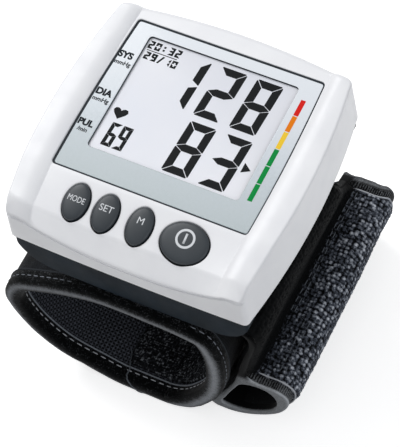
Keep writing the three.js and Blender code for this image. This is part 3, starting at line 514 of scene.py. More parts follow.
def gather(skins):
    """Several skins, each with its points and faces, as one."""
    points, faces = [], []
    count = 0
    for made, made_faces in skins:
        faces += [[i + count for i in face] for face in made_faces]
        points.append(made)
        count += len(made)
    return np.concatenate(points), faces


# The case, from above
def bezier(start, control, end, count):
    t = np.arange(count)[:, None] / count
    return (1 - t) ** 2 * np.array(start) + 2 * t * (1 - t) * np.array(control) + t ** 2 * np.array(end)


def bowed_box(low, high, radii, bows, middle, counts):
    """A closed outline, counter-clockwise: a box with rounded corners and bowed sides.

    low and high are its corners, radii those of its front and rear corners, bows how far its front, its sides
    and its rear bow out, and middle the place of their crowns. counts are the points of front and rear, of
    the sides and of the corners.
    """
    (left, front), (right, rear) = low, high
    f, r = radii
    front_bow, side_bow, rear_bow = (2 * bow for bow in bows)
    x, y = middle
    ends, sides, corners = counts
    return np.concatenate([
        bezier((left + f, front), (x, front - front_bow), (right - f, front), ends),
        bezier((right - f, front), (right, front), (right, front + f), corners),
        bezier((right, front + f), (right + side_bow, y), (right, rear - r), sides),
        bezier((right, rear - r), (right, rear), (right - r, rear), corners),
        bezier((right - r, rear), (x, rear + rear_bow), (left + r, rear), ends),
        bezier((left + r, rear), (left, rear), (left, rear - r), corners),
        bezier((left, rear - r), (left - side_bow, y), (left, front + f), sides),
        bezier((left, front + f), (left, front), (left + f, front), corners),
    ])


def case_outline(inset=0.0):
    w, l = CASE_WIDTH / 2 - inset, CASE_LENGTH / 2 - inset
    radii = [max(radius - inset, radius / 4) for radius in (FRONT_CORNER_RADIUS, REAR_CORNER_RADIUS)]
    return bowed_box((-w, -l), (w, l), radii, (FRONT_BOW, SIDE_BOW, REAR_BOW), (0, 0), (46, 46, 9))


def full_turn(count):
    return np.arange(count) * 2 * math.pi / count


def outward(outline):
    """Unit normals of a closed outline that runs counter-clockwise."""
    along = np.roll(outline, -1, 0) - np.roll(outline, 1, 0)
    normal = np.stack([along[:, 1], -along[:, 0]], 1)
    return normal / np.linalg.norm(normal, axis=1)[:, None]


def lean(outline, height):
    climb = (np.broadcast_to(height, (len(outline),)) - RIM) / UPPER_HEIGHT
    front = np.maximum(0, -outline[:, 1] / (CASE_LENGTH / 2))
    x = outline[:, 0] * (1 - climb * SIDE_LEAN / (CASE_WIDTH / 2))
    return np.stack([x, outline[:, 1] + climb * FRONT_LEAN * front], 1)


def crease_at(y):
    return CREASE_REACH - CREASE_DRAW * ((y - CREASE_MIDDLE) / (CASE_LENGTH / 2 + CREASE_MIDDLE)) ** 2


def side_edge_at(y):
    return CASE_WIDTH / 2 - SIDE_LEAN + SIDE_BOW * (1 - (2 * y / CASE_LENGTH) ** 2)


FRONT_EDGE = -CASE_LENGTH / 2 + FRONT_LEAN / 2


def top_height(place):
    """Height of the case's top, without the rounding of its edges."""
    x, y = np.asarray(place, float).T
    crease = crease_at(y)
    across = np.abs(x)
    run = np.clip((SLOPE_START - y) / (SLOPE_START - FRONT_EDGE), 0, 1.1)
    smile = 1 - SMILE_SHARE * np.minimum(1, across / crease) ** SMILE_POWER
    bend = np.clip((run - WATERFALL_START) / (1 - WATERFALL_START), 0, None) ** WATERFALL_POWER
    fall = (SLOPE_DROP * run + WATERFALL_DROP * bend) * smile
    side = np.clip((across - crease) / (side_edge_at(y) - crease), 0, 1.2)
    rise = SIDE_RISE * (1 - (1 - np.minimum(side / SIDE_RISE_SHARE, 1)) ** SIDE_RISE_POWER)
    return DISPLAY_PLANE - fall + rise - SIDE_EDGE_FALL * side ** 2


def window_outline(grow=0.0):
    w = WINDOW_HALF_WIDTH + grow
    front, rear = WINDOW_FRONT - grow, WINDOW_REAR + grow
    outline = bowed_box((-w, front), (w, rear), [WINDOW_RADIUS + grow] * 2, (0, WINDOW_BOW, 0),
                        (0, (front + rear) / 2), (40, 40, 8))
    outline[:, 0] *= 1 - WINDOW_TAPER * (outline[:, 1] - front) / (rear - front)
    return outline


def lcd_outline(grow=0.0):
    return bowed_box((LCD_LEFT - grow, LCD_FRONT - grow), (LCD_RIGHT + grow, LCD_REAR + grow),
                     [LCD_CORNER] * 2, (0, 0, 0), (0, 0), (4, 4, 6))


def ellipse(x, y, half_width, half_length):
    turn = full_turn(84)
    return np.stack([x + half_width * np.cos(turn), y + half_length * np.sin(turn)], 1)


def slope_angle(x, y):
    step = 0.2
    rise = top_height([(x, y + step)])[0] - top_height([(x, y - step)])[0]
    return math.atan(rise / (2 * step))


# Beside each rounded edge, one more loop keeps the shading of the flat area even
SUPPORT = 0.06


class Sheet:
    """A flat area of triangles between closed loops, whose points carry a fall below the surface."""

    def __init__(self):
        self.points = []
        self.falls = []
        self.edges = []
        self.border = None
        self.openings = []

    def add(self, places, falls, joined=True):
        first = len(self.points)
        count = len(places)
        self.points += [Vector(p) for p in places]
        self.falls += np.broadcast_to(falls, (count,)).tolist()
        if joined:
            self.edges += [(first + i, first + (i + 1) % count) for i in range(count)]
        return np.arange(first, first + count)

    def bound(self, outline):
        """The first loop bounds the area, and each later one is an opening in it."""
        if self.border is None:
            self.border = outline
        else:
            self.openings.append(outline)

    def rounded(self, outline, normals, radius, steps):
        """Loops beside an edge that is rounded off; normals point away from the surface."""
        self.bound(outline)
        radii = np.broadcast_to(radius, (len(outline),))
        loops = []
        for step in range(steps + 1):
            turn = math.pi / 2 * step / steps
            places = outline - normals * (radii * (1 - math.cos(turn)))[:, None]
            loops.append(self.add(places, radii * (1 - math.sin(turn))))
        self.add(places - normals * SUPPORT, 0.0)
        return loops[0]

    def triangles(self):
        made = delaunay_2d_cdt(self.points, self.edges, [], 0, 1e-6)
        places, faces, origins = made[0], made[2], made[3]
        source = [o[0] if o else -1 for o in origins]
        tree = KDTree(len(self.points))
        for i, p in enumerate(self.points):
            tree.insert((p.x, p.y, 0), i)
        tree.balance()
        source = [s if s >= 0 else tree.find((p.x, p.y, 0))[1] for s, p in zip(source, places)]
        new_index = {}
        for i, s in enumerate(source):
            new_index.setdefault(s, i)
        places = np.array([(p.x, p.y) for p in places])
        middles = np.array([places[list(face)].mean(axis=0) for face in faces])
        shown = inside(middles, self.border)
        for opening in self.openings:
            shown &= ~inside(middles, opening)
        kept = [list(face) for face, show in zip(faces, shown) if show]
        falls = np.array([self.falls[s] for s in source])
        return places, falls, kept, new_index


def wall_strip(upper, lower):
    """Faces between two loops of point numbers."""
    count = len(upper)
    return [(upper[i], upper[(i + 1) % count], lower[(i + 1) % count], lower[i]) for i in range(count)]


def two_sided(upper, lower, faces, index, loops):
    """Points and faces of a flat area, of its underside, and of the walls between them along loops."""
    count = len(upper)
    faces = faces + [[i + count for i in face[::-1]] for face in faces]
    for loop in loops:
        rim = [index[i] for i in loop]
        faces += wall_strip(rim, [i + count for i in rim])
    return np.concatenate([upper, lower]), faces


class Skin:
    """Points and faces that grow by rings of points."""

    def __init__(self, points, faces):
        self.points = points
        self.faces = faces

    def join(self, loop, ring):
        """Adds a ring and the faces between it and a loop of point numbers, and gives the ring's numbers."""
        numbers = list(range(len(self.points), len(self.points) + len(ring)))
        self.points = np.concatenate([self.points, ring])
        self.faces = self.faces + wall_strip(loop, numbers)
        return numbers


def grid_places(left, right, front, rear, step, keep):
    xs = np.arange(left, right, step)
    ys = np.arange(front, rear, step)
    places = np.stack(np.meshgrid(xs, ys), -1).reshape(-1, 2)
    return places[keep(places)]


def nearest(places, loop):
    """Distance of each place to the closest point of a loop."""
    return np.linalg.norm(places[:, None] - loop[None], axis=2).min(axis=1)


def inside(places, loop):
    x, y = places[:, 0, None], places[:, 1, None]
    after = np.roll(loop, -1, 0)
    crosses = (loop[:, 1] > y) != (after[:, 1] > y)
    with np.errstate(divide="ignore", invalid="ignore"):
        at = (after[:, 0] - loop[:, 0]) * (y - loop[:, 1]) / (after[:, 1] - loop[:, 1]) + loop[:, 0]
    return (crosses & (x < at)).sum(1) % 2 == 1


# White upper shell
WINDOW_GAP = 0.3
WINDOW_FILLET = 0.22
BUTTON_FILLET = 0.33
COVER_REACH = 23.9
COVER_OPENING = [(-60, -COVER_REACH, 50), (-29.4, COVER_REACH, 70.8)]
# Left, right, front, rear and spacing of the points on its top, and of more points on its front slope
TOP_GRID = (-37, 37, -34, 37, 1.3)
SLOPE_GRID = (-37, 37, -34.2, -27.5, 0.55)
SLOPE_GRID_SHIFT = 0.003
# Lines of points beside each crease, and their spacing
CREASE_LINES = (-0.14, 0.0, 0.14, 0.6)
CREASE_STEP = 0.45
# How far these stay away from the edge
TOP_ROOM = 2.7
SLOPE_ROOM = 1.3
CREASE_ROOM = 1.2
# The inside is drawn in by a share, up to this far from the edge
INNER_DRAW = 0.055
INNER_REACH = 8
# Rings of the walls, from the edge down: share of the height, inset, and how far the front is sunk
WALL_RINGS = [(height, 0, sunk) for height, sunk in zip(GROOVE_HEIGHTS, [0, GROOVE_DEPTH, GROOVE_DEPTH, 0])]
WALL_RINGS += [(height, 0, 0) for height in np.linspace(0.84, 0.03, 8)]
WALL_RINGS += [(0.012, 0.12, 0), (0, 0.4, 0), (0, WALL, 0), (0.3, WALL, 0)]
# In front of this line the slope is shaded as it is there, by a share that is smaller outside the left
# crease, near an edge and where the surface is steep
SHADED_FROM = -28.7
SHADED_SHARE = 0.7
SHADED_LEFT = 0.25
SHADED_ROOM = 0.5
STEEP = 0.22
STEEP_FADE = 0.13


def steady_shading(mesh):
    """Lets the slope keep its shading, and the crease in it, down to the line over the front wall."""
    corners = np.zeros(len(mesh.loops), np.int32)
    mesh.loops.foreach_get("vertex_index", corners)
    places, normals = np.zeros(3 * len(mesh.vertices)), np.zeros(3 * len(mesh.loops))
    mesh.vertices.foreach_get("co", places)
    mesh.corner_normals.foreach_get("vector", normals)
    x, y, z = places.reshape(-1, 3)[corners].T / MM
    normals = normals.reshape(-1, 3)
    crease, edge, across = crease_at(y), side_edge_at(y), np.abs(x)
    crease_there, edge_there = crease_at(SHADED_FROM), side_edge_at(SHADED_FROM)
    outside = crease_there + (across - crease) / (edge - crease) * (edge_there - crease_there)
    above = np.sign(x) * np.where(across > crease, outside, across * crease_there / crease)
    above = np.stack([above, np.full(len(x), SHADED_FROM)], 1)
    step = 0.12
    steady = np.ones((len(x), 3))
    for axis, move in enumerate(step * np.eye(2)):
        steady[:, axis] = (top_height(above - move) - top_height(above + move)) / (2 * step)
    steady /= np.linalg.norm(steady, axis=1)[:, None]
    share = SHADED_SHARE * np.clip(SHADED_FROM - SHADED_ROOM - y, 0, 1)
    share *= np.clip((normals[:, 2] - STEEP) / STEEP_FADE, 0, 1) * np.clip(edge - across - SHADED_ROOM, 0, 1)
    share *= np.abs(z - top_height(np.stack([x, y], 1))) < SHADED_ROOM
    share *= np.where(x < -crease - 0.1, SHADED_LEFT, 1)
    normals = normals + (steady - normals) * share[:, None]
    normals /= np.linalg.norm(normals, axis=1)[:, None]
    mesh.normals_split_custom_set(normals.tolist())


def build_top_shell():
    outline = case_outline()
    edge = lean(outline, top_height(lean(outline, DISPLAY_PLANE)))
    normals = outward(outline)
    front, rear = (np.maximum(0, side * normals[:, 1]) ** 2 for side in (-1, 1))
    radius = SIDE_EDGE_RADIUS + (FRONT_EDGE_RADIUS - SIDE_EDGE_RADIUS) * front
    radius = radius + (REAR_EDGE_RADIUS - SIDE_EDGE_RADIUS) * rear
    sheet = Sheet()
    border = sheet.rounded(edge, normals, radius, 7)
    window = window_outline(WINDOW_GAP)
    rims = [(window, WINDOW_FILLET, 3, 0.12)]
    rims += [(ellipse(button[2], BUTTON_ROW, button[3] + BUTTON_GAP, button[4] + BUTTON_GAP), BUTTON_FILLET,
              4, 0.25) for button in BUTTONS]
    holes = [sheet.rounded(rim, -outward(rim), fillet, steps) for rim, fillet, steps, _ in rims]

    def free(places):
        kept = inside(places, edge) & (nearest(places, edge) > TOP_ROOM)
        for rim, fillet, _, room in rims:
            kept &= ~inside(places, rim) & (nearest(places, rim) > fillet + room)
        return kept

    y = np.arange(-CASE_LENGTH / 2, CASE_LENGTH / 2 + REAR_BOW, CREASE_STEP)
    for side in (-1, 1):
        for offset in CREASE_LINES:
            line = np.stack([side * (crease_at(y) + offset), y], 1)
            kept = inside(line, edge) & (nearest(line, edge) > CREASE_ROOM)
            kept &= nearest(line, window) > WINDOW_FILLET + 0.02
            sheet.add(line[kept], 0.0, joined=False)
    sheet.add(grid_places(*TOP_GRID, free) + noise_source.uniform(-0.01, 0.01), 0.0, joined=False)
    fine = grid_places(*SLOPE_GRID, free)
    fine = fine[inside(fine, edge) & (nearest(fine, edge) > SLOPE_ROOM)] + SLOPE_GRID_SHIFT
    sheet.add(fine, 0.0, joined=False)
    places, falls, faces, index = sheet.triangles()
    heights = top_height(places) - falls
    inner = places * (1 - INNER_DRAW * np.clip(1 - nearest(places, edge) / INNER_REACH, 0, 1))[:, None]
    skin = Skin(*two_sided(np.column_stack([places, heights]), np.column_stack([inner, heights - CEILING]),
                           faces, index, holes))
    loop = [index[i] for i in border]
    edge_heights = heights[loop]
    for share, inset, sunk in WALL_RINGS:
        level = RIM + (edge_heights - RIM) * share
        ring = lean(case_outline(inset) - normals * (sunk * front)[:, None], level)
        loop = skin.join(loop, np.column_stack([ring, level]))
    skin.faces += wall_strip(loop, [index[i] + len(places) for i in border])
    shell = make_piece("case_top", skin.points, skin.faces, WHITE, None)
    cut(shell, *COVER_OPENING)
    steady_shading(shell.data)
    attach(shell, "root")
    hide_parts("top_shell")


build_top_shell()


# Display window, its dark edge and the display sunk in it
def plate(name, outlines, top, bottom, material, slot, replaces=(), radius=0.0):
    """A flat plate with an outline and holes, its upper edges rounded."""
    sheet = Sheet()
    loops = []
    for number, outline in enumerate(outlines):
        normals = outward(outline) * (1 if number == 0 else -1)
        if radius:
            loops.append(sheet.rounded(outline, normals, radius, 3))
        else:
            sheet.bound(outline)
            loops.append(sheet.add(outline, 0.0))
    places, falls, faces, index = sheet.triangles()
    sides = [np.column_stack([places, level]) for level in (top - falls, np.full(len(places), bottom))]
    make_piece(name, *two_sided(*sides, faces, index, loops), material, "root", slot, replaces)


PANE_TOP = DISPLAY_PLANE - WINDOW_SINK
PANE_GAP = 0.22
PANE_SHIFT = (0.2, -0.13)
PANE_EDGE_RADIUS = 0.08
LCD_TOP = PANE_TOP - LCD_DEPTH
EDGE_THICKNESS = 1.4
LCD_THICKNESS = 0.8
# How far a dark edge starts under its neighbour's top, and how far it goes on behind it
TUCK = 0.1
OVERHANG = 0.3
plate("window_panel", [window_outline(-PANE_GAP) + PANE_SHIFT, lcd_outline()], PANE_TOP,
      PANE_TOP - WINDOW_THICKNESS, PANEL, "window_panel", ["display_window"], PANE_EDGE_RADIUS)
EDGE_TOP = PANE_TOP - TUCK
plate("window_edge", [window_outline(WINDOW_GAP + TUCK), window_outline(-PANE_GAP - OVERHANG)], EDGE_TOP,
      EDGE_TOP - EDGE_THICKNESS, DARK_EDGE, "black_plastic")
plate("lcd_walls", [lcd_outline(OVERHANG), lcd_outline(-0.03)], EDGE_TOP, LCD_TOP - OVERHANG, DARK_EDGE,
      "black_plastic")
plate("lcd_face", [lcd_outline(TUCK)], LCD_TOP, LCD_TOP - LCD_THICKNESS, LCD, "display_panel",
      ["display_glass"])

# The strokes of each figure
SEGMENTS = {
    "0": "abcdef", "1": "bc", "2": "abged", "3": "abgcd", "6": "afgedc", "8": "abcdefg", "9": "abcdfg",
}
SQUARE = ((-1, -1), (1, -1), (1, 1), (-1, 1))


def segments(text, left, front, width, height, stroke, pitch, lean_by, gap):
    """Corner lists of the strokes of a row of figures, whose ends meet at a slant."""
    shapes = []
    half = stroke / 2
    for number, figure in enumerate(text):
        x0 = left + number * pitch
        x1, y0, y1 = x0 + width, front, front + height
        if figure == ":":
            cx = x0 + 0.4 * width
            for cy in (front + 0.3 * height, front + 0.7 * height):
                shapes.append([(cx + a * half, cy + b * half) for a, b in SQUARE])
            continue
        if figure == "/":
            shapes.append([(x0, y0), (x0 + stroke, y0), (x1, y1), (x1 - stroke, y1)])
            continue
        ym = (y0 + y1) / 2
        nick = 3 * gap
        top = [(x0 + gap + nick, y1), (x1 - gap - nick, y1), (x1 - gap - nick / 2, y1 - nick / 2),
               (x1 - stroke - gap, y1 - stroke), (x0 + stroke + gap, y1 - stroke),
               (x0 + gap + nick / 2, y1 - nick / 2)]
        right = [(x1, y1 - gap - nick), (x1, ym + gap + nick / 2), (x1 - nick / 2, ym + gap + nick / 4),
                 (x1 - stroke, ym + half + gap), (x1 - stroke, y1 - stroke - gap),
                 (x1 - nick / 2, y1 - gap - nick / 2)]
        marks = {"a": top, "b": right, "g": [
            (x0 + gap, ym), (x0 + stroke, ym - half), (x1 - stroke, ym - half),
            (x1 - gap, ym), (x1 - stroke, ym + half), (x0 + stroke, ym + half)]}
        marks["d"] = [(x, 2 * ym - y) for x, y in top]
        marks["c"] = [(x, 2 * ym - y) for x, y in right]
        marks["f"] = [(x0 + x1 - x, y) for x, y in right]
        marks["e"] = [(x0 + x1 - x, 2 * ym - y) for x, y in right]
        shapes += [marks[mark] for mark in SEGMENTS[figure]]
    return [[(x + (y - front) * lean_by, y) for x, y in shape] for shape in shapes]


SLAB_THICKNESS = 0.02


def slabs(name, shapes, base, material):
    """Thin raised shapes on a level face, as one piece."""
    levels = (base - SLAB_THICKNESS, base + SLAB_THICKNESS)
    points, faces = gather(stack([np.array([(x, y, level) for x, y in shape]) for level in levels])
                           for shape in shapes)
    make_piece(name, points, faces, material, "root")


heart = [(0, -1.45), (0.62, -0.85), (1.4, -0.1), (1.8, 0.62), (1.5, 1.25), (0.85, 1.4), (0.3, 1.15),
         (0, 0.75)]
heart += [(-x, y) for x, y in heart[-2:0:-1]]
HEART_SIZE = 1.15

# Text, left, front, width, height, stroke, pitch, slant and gap
FIGURES = [
    ("128", -11.1, 9.4, 7.4, 15.7, 2.15, 10.15, 0.045, 0.13),
    ("83", -1.1, -8.2, 7.4, 15.7, 2.15, 10.15, 0.045, 0.13),
    ("69", -18.8, -7.4, 2.8, 7.1, 1.0, 3.2, 0.03, 0.03),
    ("20:32", -21.0, 23.0, 1.55, 2.4, 0.57, 1.95, 0.03, 0.0),
    ("29/10", -20.6, 19.7, 1.55, 2.3, 0.57, 1.95, 0.03, 0.0),
]
figures = [shape for row in FIGURES for shape in segments(*row)]
# The line between time and date, the heart and the arrow at the level bar
figures.append([(-20.7, 22.36), (-12, 22.36), (-12, 22.6), (-20.7, 22.6)])
figures.append([(-18.2 + x * HEART_SIZE, 2.5 + y * HEART_SIZE) for x, y in heart])
figures.append([(17.8, -1.4), (20.1, -0.1), (17.8, 1.6)])
slabs("lcd_figures", figures, LCD_TOP, LCD_INK)

BAR_LEFT = 23.1
BAR_RIGHT = 24.4
BLOCK_GAP = 0.12
BAR = [
    ("red", "d9221c", [(18.2, 23.3)]),
    ("orange", "e87e12", [(13.2, 18.2)]),
    ("yellow", "f4cc3c", [(7.8, 13.2)]),
    ("green", "0c8a40", [(2.5, 7.8), (-3.0, 2.5), (-8.35, -3.0)]),
]
for hue, code, blocks in BAR:
    shapes = [[(x, low + BLOCK_GAP) for x in (BAR_LEFT, BAR_RIGHT)]
              + [(x, high - BLOCK_GAP) for x in (BAR_RIGHT, BAR_LEFT)] for low, high in blocks]
    slabs("level_bar_" + hue, shapes, PANE_TOP, ink("bar_" + hue, code, 0.4, 0.05))


LETTER_THICKNESS = 0.03
LETTER_STEPS = 6
LABEL_HEIGHT_SHARE = 0.7
# Points closer than this are one
MERGED = 0.0005


def lettering(name, body_text, size, material, body, place, bold=0.0):
    """Raised lettering as a mesh. place turns its points, in millimetres, into points of the frame."""
    curve = bpy.data.curves.new(name, "FONT")
    curve.body = body_text
    curve.size = size
    curve.align_x = "CENTER"
    curve.align_y = "CENTER"
    curve.offset = bold
    curve.extrude = LETTER_THICKNESS
    curve.resolution_u = LETTER_STEPS
    flat = new_object(name + "_outline", curve)
    mesh = final_mesh(flat)
    bpy.data.objects.remove(flat)

    def put(shaped):
        bmesh.ops.remove_doubles(shaped, verts=shaped.verts, dist=MERGED)
        for vertex in shaped.verts:
            vertex.co = Vector(place(*vertex.co)) * MM

    reshape(mesh, put)
    mesh.materials.clear()
    mesh.materials.append(material)
    piece = new_object(name, mesh)
    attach(piece, body)


for name, text, size, x, y, bold in [
    ("label_sys", "SYS", 2.65, -24.7, 18.5, 0.13), ("label_sys_unit", "mmHg", 1.7, -24.4, 16.0, 0.05),
    ("label_dia", "DIA", 2.65, -24.7, 6.3, 0.13), ("label_dia_unit", "mmHg", 1.7, -24.5, 4.0, 0.05),
    ("label_pul", "PUL", 2.5, -24.8, -3.5, 0.13), ("label_pul_unit", "/min", 1.6, -24.7, -5.6, 0.05),
]:
    lettering(name, text, size, PRINT_INK, "root",
              lambda u, v, w, x=x, y=y: (x + u, y + v, PANE_TOP + w * LABEL_HEIGHT_SHARE), bold)

# Buttons, crowned, with their legends: share of the width and height of each ring
CROWN = [(1.0, -BUTTON_DEPTH), (1.0, -0.3), (1.0, 0.2), (0.992, 0.38), (0.968, 0.53), (0.93, 0.64),
         (0.87, 0.72), (0.78, 0.79), (0.66, 0.85), (0.5, 0.9), (0.33, 0.935), (0.16, 0.955)]
CROWN_TOP = 0.96
CROWN_SHIFT = BUTTON_PROUD - CROWN_TOP + 0.1
# Legends of more than three letters are this much narrower
LEGEND_NARROW = 0.76
# The power symbol: the ring's radii, and half the bar's width and length
POWER_RING = (1.95, 2.55)
POWER_BAR = (0.28, 1.35)


def crown_height(share):
    shares = [s for s, _ in CROWN[3:]][::-1]
    heights = [h for _, h in CROWN[3:]][::-1]
    return np.interp(share, [0] + shares, [CROWN_TOP] + heights)


for body, node, across, half_width, half_length, legend, legend_size, legend_shift in BUTTONS:
    tilt = slope_angle(across, BUTTON_ROW)
    seat = top_height([(across, BUTTON_ROW)])[0]
    along = np.array([0, math.cos(tilt), math.sin(tilt)])
    up = np.array([0, -math.sin(tilt), math.cos(tilt)])
    centre = np.array([across, BUTTON_ROW, seat])

    def on_button(u, v, w):
        return centre + np.array([1, 0, 0]) * u + along * v + up * w

    turn = full_turn(72)
    rings = [np.array([on_button(half_width * share * math.cos(a),
                                 half_length * share * math.sin(a) / math.cos(tilt), height + CROWN_SHIFT)
                       for a in turn]) for share, height in CROWN]
    points, faces = stack(rings)
    make_piece(node + "_cap", points, faces, BUTTON, body, "button_plastic", [node])

    def on_crown(u, v, w, shift=legend_shift):
        share = math.hypot(u / half_width, (v + shift) / half_length)
        return on_button(u, v + shift, crown_height(share) + CROWN_SHIFT + w)

    if legend:
        narrow = LEGEND_NARROW if len(legend) > 3 else 1.0
        lettering("legend_" + legend.lower(), legend, legend_size, LEGEND, body,
                  lambda u, v, w, narrow=narrow: on_crown(u * narrow, v, w))
    else:
        low, high = -LETTER_THICKNESS, LETTER_THICKNESS
        inner, outer = POWER_RING
        rings = [np.array([on_crown(radius * math.cos(a), radius * math.sin(a), level) for a in turn])
                 for radius, level in ((inner, low), (inner, high), (outer, high), (outer, low))]
        points, faces = stack(rings, close=True)
        make_piece("legend_power_ring", points, faces, LEGEND, body)
        bar = [(x * POWER_BAR[0], y * POWER_BAR[1]) for x, y in SQUARE]
        points, faces = stack([np.array([on_crown(x, y, level) for x, y in bar]) for level in (low, high)])
        make_piece("legend_power_bar", points, faces, LEGEND, body, sharp=None)


# Curves and skins of the cuff and the strap. Nothing of them goes under FLOOR_GAP
FLOOR_GAP = 0.02


def walk(path, closed):
    """The path as a function of the distance along it, and its length."""
    if closed:
        path = np.vstack([path, path[:1]])
    reach = np.concatenate([[0], np.cumsum(np.linalg.norm(np.diff(path, axis=0), axis=1))])
    return (lambda at: np.stack([np.interp(at, reach, values) for values in path.T], -1)), reach[-1]


def closed_curve(shares, left, width, height, spacing):
    """An even, smooth curve through the shares of a width and height, and its length."""
    knots = np.array([(left + sx * width, sz * height) for sx, sz in shares])
    t = np.linspace(0, 1, 24, endpoint=False)[:, None]
    parts = []
    for i in range(len(knots)):
        p0, p1, p2, p3 = (knots[(i + k) % len(knots)] for k in (-1, 0, 1, 2))
        d0, d1, d2 = (max(np.linalg.norm(b - a), 1e-9) ** 0.5 for a, b in ((p0, p1), (p1, p2), (p2, p3)))
        m1 = ((p1 - p0) / d0 - (p2 - p0) / (d0 + d1) + (p2 - p1) / d1) * d1
        m2 = ((p2 - p1) / d1 - (p3 - p1) / (d1 + d2) + (p3 - p2) / d2) * d1
        parts.append((2 * t ** 3 - 3 * t ** 2 + 1) * p1 + (t ** 3 - 2 * t ** 2 + t) * m1
                     + (-2 * t ** 3 + 3 * t ** 2) * p2 + (t ** 3 - t ** 2) * m2)
    dense = np.concatenate(parts)
    dense[:, 1] = np.maximum(dense[:, 1], 0)
    place, length = walk(dense, True)
    count = round(length / spacing)
    return place(np.arange(count) * length / count), length


def ring_at(curve, inset, y):
    """The curve drawn in by an inset and set at y."""
    inset, y = (np.broadcast_to(value, (len(curve),)) for value in (inset, y))
    across, up = (curve - outward(curve) * inset[:, None]).T
    return np.column_stack([across, y, np.maximum(up, FLOOR_GAP)])


def tube(name, curve, length, stations, material, body, slot, replaces, tone_and_painted_light=None):
    """A skin round a curve. stations are (inset, y) pairs of one closed section, numbers or one per point."""
    points, faces = stack([ring_at(curve, inset, y) for inset, y in stations], close=True)
    along = np.arange(len(curve)) * length / len(curve)
    moves = [sum(float(np.mean(np.abs(np.subtract(b[i], a[i])))) for i in (0, 1))
             for a, b in zip(stations, stations[1:])]
    uv = np.concatenate([np.stack([along, np.full(len(curve), across)], 1)
                         for across in np.cumsum([0] + moves)])
    return make_piece(name, points, faces, material, body, slot, replaces, sharp=None, uv=uv, tone_and_painted_light=tone_and_painted_light)


def ripple(along, across, length, waves):
    """A sum of seeded waves that meets itself after the length."""
    total = 0
    for size, turns, slope in waves:
        phase = noise_source.uniform(0, 2 * math.pi)
        total = total + size * np.sin(2 * math.pi * turns * along / length + across * slope + phase)
    return total


# Curly loops, in cells as wide as their pitch: where in its cell a loop stands, how tall it is, how far it
# reaches, and the painted light on the darkest one and what the brightest one has more
LOOP_SCATTER = (0.26, 0.74)
LOOP_TALL = (0.6, 1.0)
LOOP_REACH = 0.66
LOOP_DARK = 0.62
LOOP_BRIGHT = 0.4


def boucle(along, across, length, pitch):
    """Height of curly loops, 0 to 1, and each place's painted light, a highlight of random tone on each loop
    and painted shade between. Their scatter repeats after length.
    """
    columns = round(length / pitch)
    rows = math.ceil((across.max() - across.min()) / pitch) + 3
    start = across.min() - pitch
    jitter = noise_source.uniform(*LOOP_SCATTER, (columns, rows, 2))
    tall = noise_source.uniform(*LOOP_TALL, (columns, rows))
    bright = noise_source.uniform(0, 1, (columns, rows))
    u = along / length * columns
    v = (across - start) / pitch
    cell_u, cell_v = np.floor(u).astype(int), np.floor(v).astype(int)
    best = np.zeros(u.shape)
    light = np.zeros(u.shape)
    for i in (-1, 0, 1):
        for j in (-1, 0, 1):
            cu, cv = (cell_u + i) % columns, np.clip(cell_v + j, 0, rows - 1)
            away = np.hypot(cell_u + i + jitter[cu, cv, 0] - u, cell_v + j + jitter[cu, cv, 1] - v)
            dome = np.clip(1 - (away / LOOP_REACH) ** 2, 0, 1) ** 0.7 * tall[cu, cv]
            shine = LOOP_DARK + LOOP_BRIGHT * bright[cu, cv]
            light = np.where(dome > best, dome ** 1.3 * shine, light)
            best = np.maximum(best, dome)
    return best, light


BEAD_SIDES = 6


def bead(centres, radii, across, closed=False):
    """Round rings along centres, as one skin. across is a direction that the path never takes."""
    ahead = np.roll(centres, -1, 0) - np.roll(centres, 1, 0)
    if not closed:
        ahead[0] = centres[1] - centres[0]
        ahead[-1] = centres[-1] - centres[-2]
    first = np.cross(ahead, across)
    first /= np.linalg.norm(first, axis=1)[:, None]
    second = np.cross(ahead, first)
    second /= np.linalg.norm(second, axis=1)[:, None]
    turn = full_turn(BEAD_SIDES)
    rings = [p + r * (np.cos(turn)[:, None] * a + np.sin(turn)[:, None] * b)
             for p, r, a, b in zip(centres, radii, first, second)]
    for ring in rings:
        ring[:, 2] = np.maximum(ring[:, 2], FLOOR_GAP)
    return stack(rings, close=closed)


ROUND_Y = (0, 1, 0)
UPWARD = (0, 0, 1)


# Along a stitch, in halves of it, and how thick it is there
STITCH_PLACES = np.array([-1, -0.75, 0, 0.75, 1])
STITCH_SWELL = np.array([0.25, 0.85, 1.0, 0.85, 0.25])


def stitches(name, path, dash, pitch, thick, material, across=ROUND_Y, closed=True, body="root"):
    """A row of stitches along a path, each half sunk in the cloth."""
    place, length = walk(path, closed)
    middles = (np.arange(int(length / pitch)) + 0.5) * pitch
    points, faces = gather(bead(place(middle + STITCH_PLACES * dash / 2), STITCH_SWELL * thick / 2, across)
                           for middle in middles)
    return make_piece(name, points, faces, material, body, sharp=None)


PIPING_STEP = 0.6
PIPING_TAPER = 2


def piping(name, path, thick, material, across=ROUND_Y, closed=True, body="root", taper=False):
    """A thin round cord sewn on along a path."""
    place, length = walk(path, closed)
    count = round(length / PIPING_STEP)
    at = np.arange(count) * length / count if closed else np.linspace(0, length, count)
    radii = np.full(count, thick / 2)
    if taper:
        radii *= np.clip(np.minimum(at, length - at) / PIPING_TAPER, 0.15, 1)
    points, faces = bead(place(at), radii, across, closed)
    return make_piece(name, points, faces, material, body, sharp=None)


# Cuff: sleeve, liner, edge tape, stitches and the fastener patch inside
CUFF_TAPE = 4.4
CUFF_TAPE_PROUD = 0.35
CUFF_BORDER = CUFF_END - CUFF_TAPE
cuff_curve, cuff_length = closed_curve(CUFF_SHARES, LOOP_LEFT, LOOP_WIDTH, LOOP_HEIGHT, 0.5)
cuff_along = np.arange(len(cuff_curve)) * cuff_length / len(cuff_curve)
CLOTH_END = CUFF_END - 1.2
CLOTH_ROWS = 150
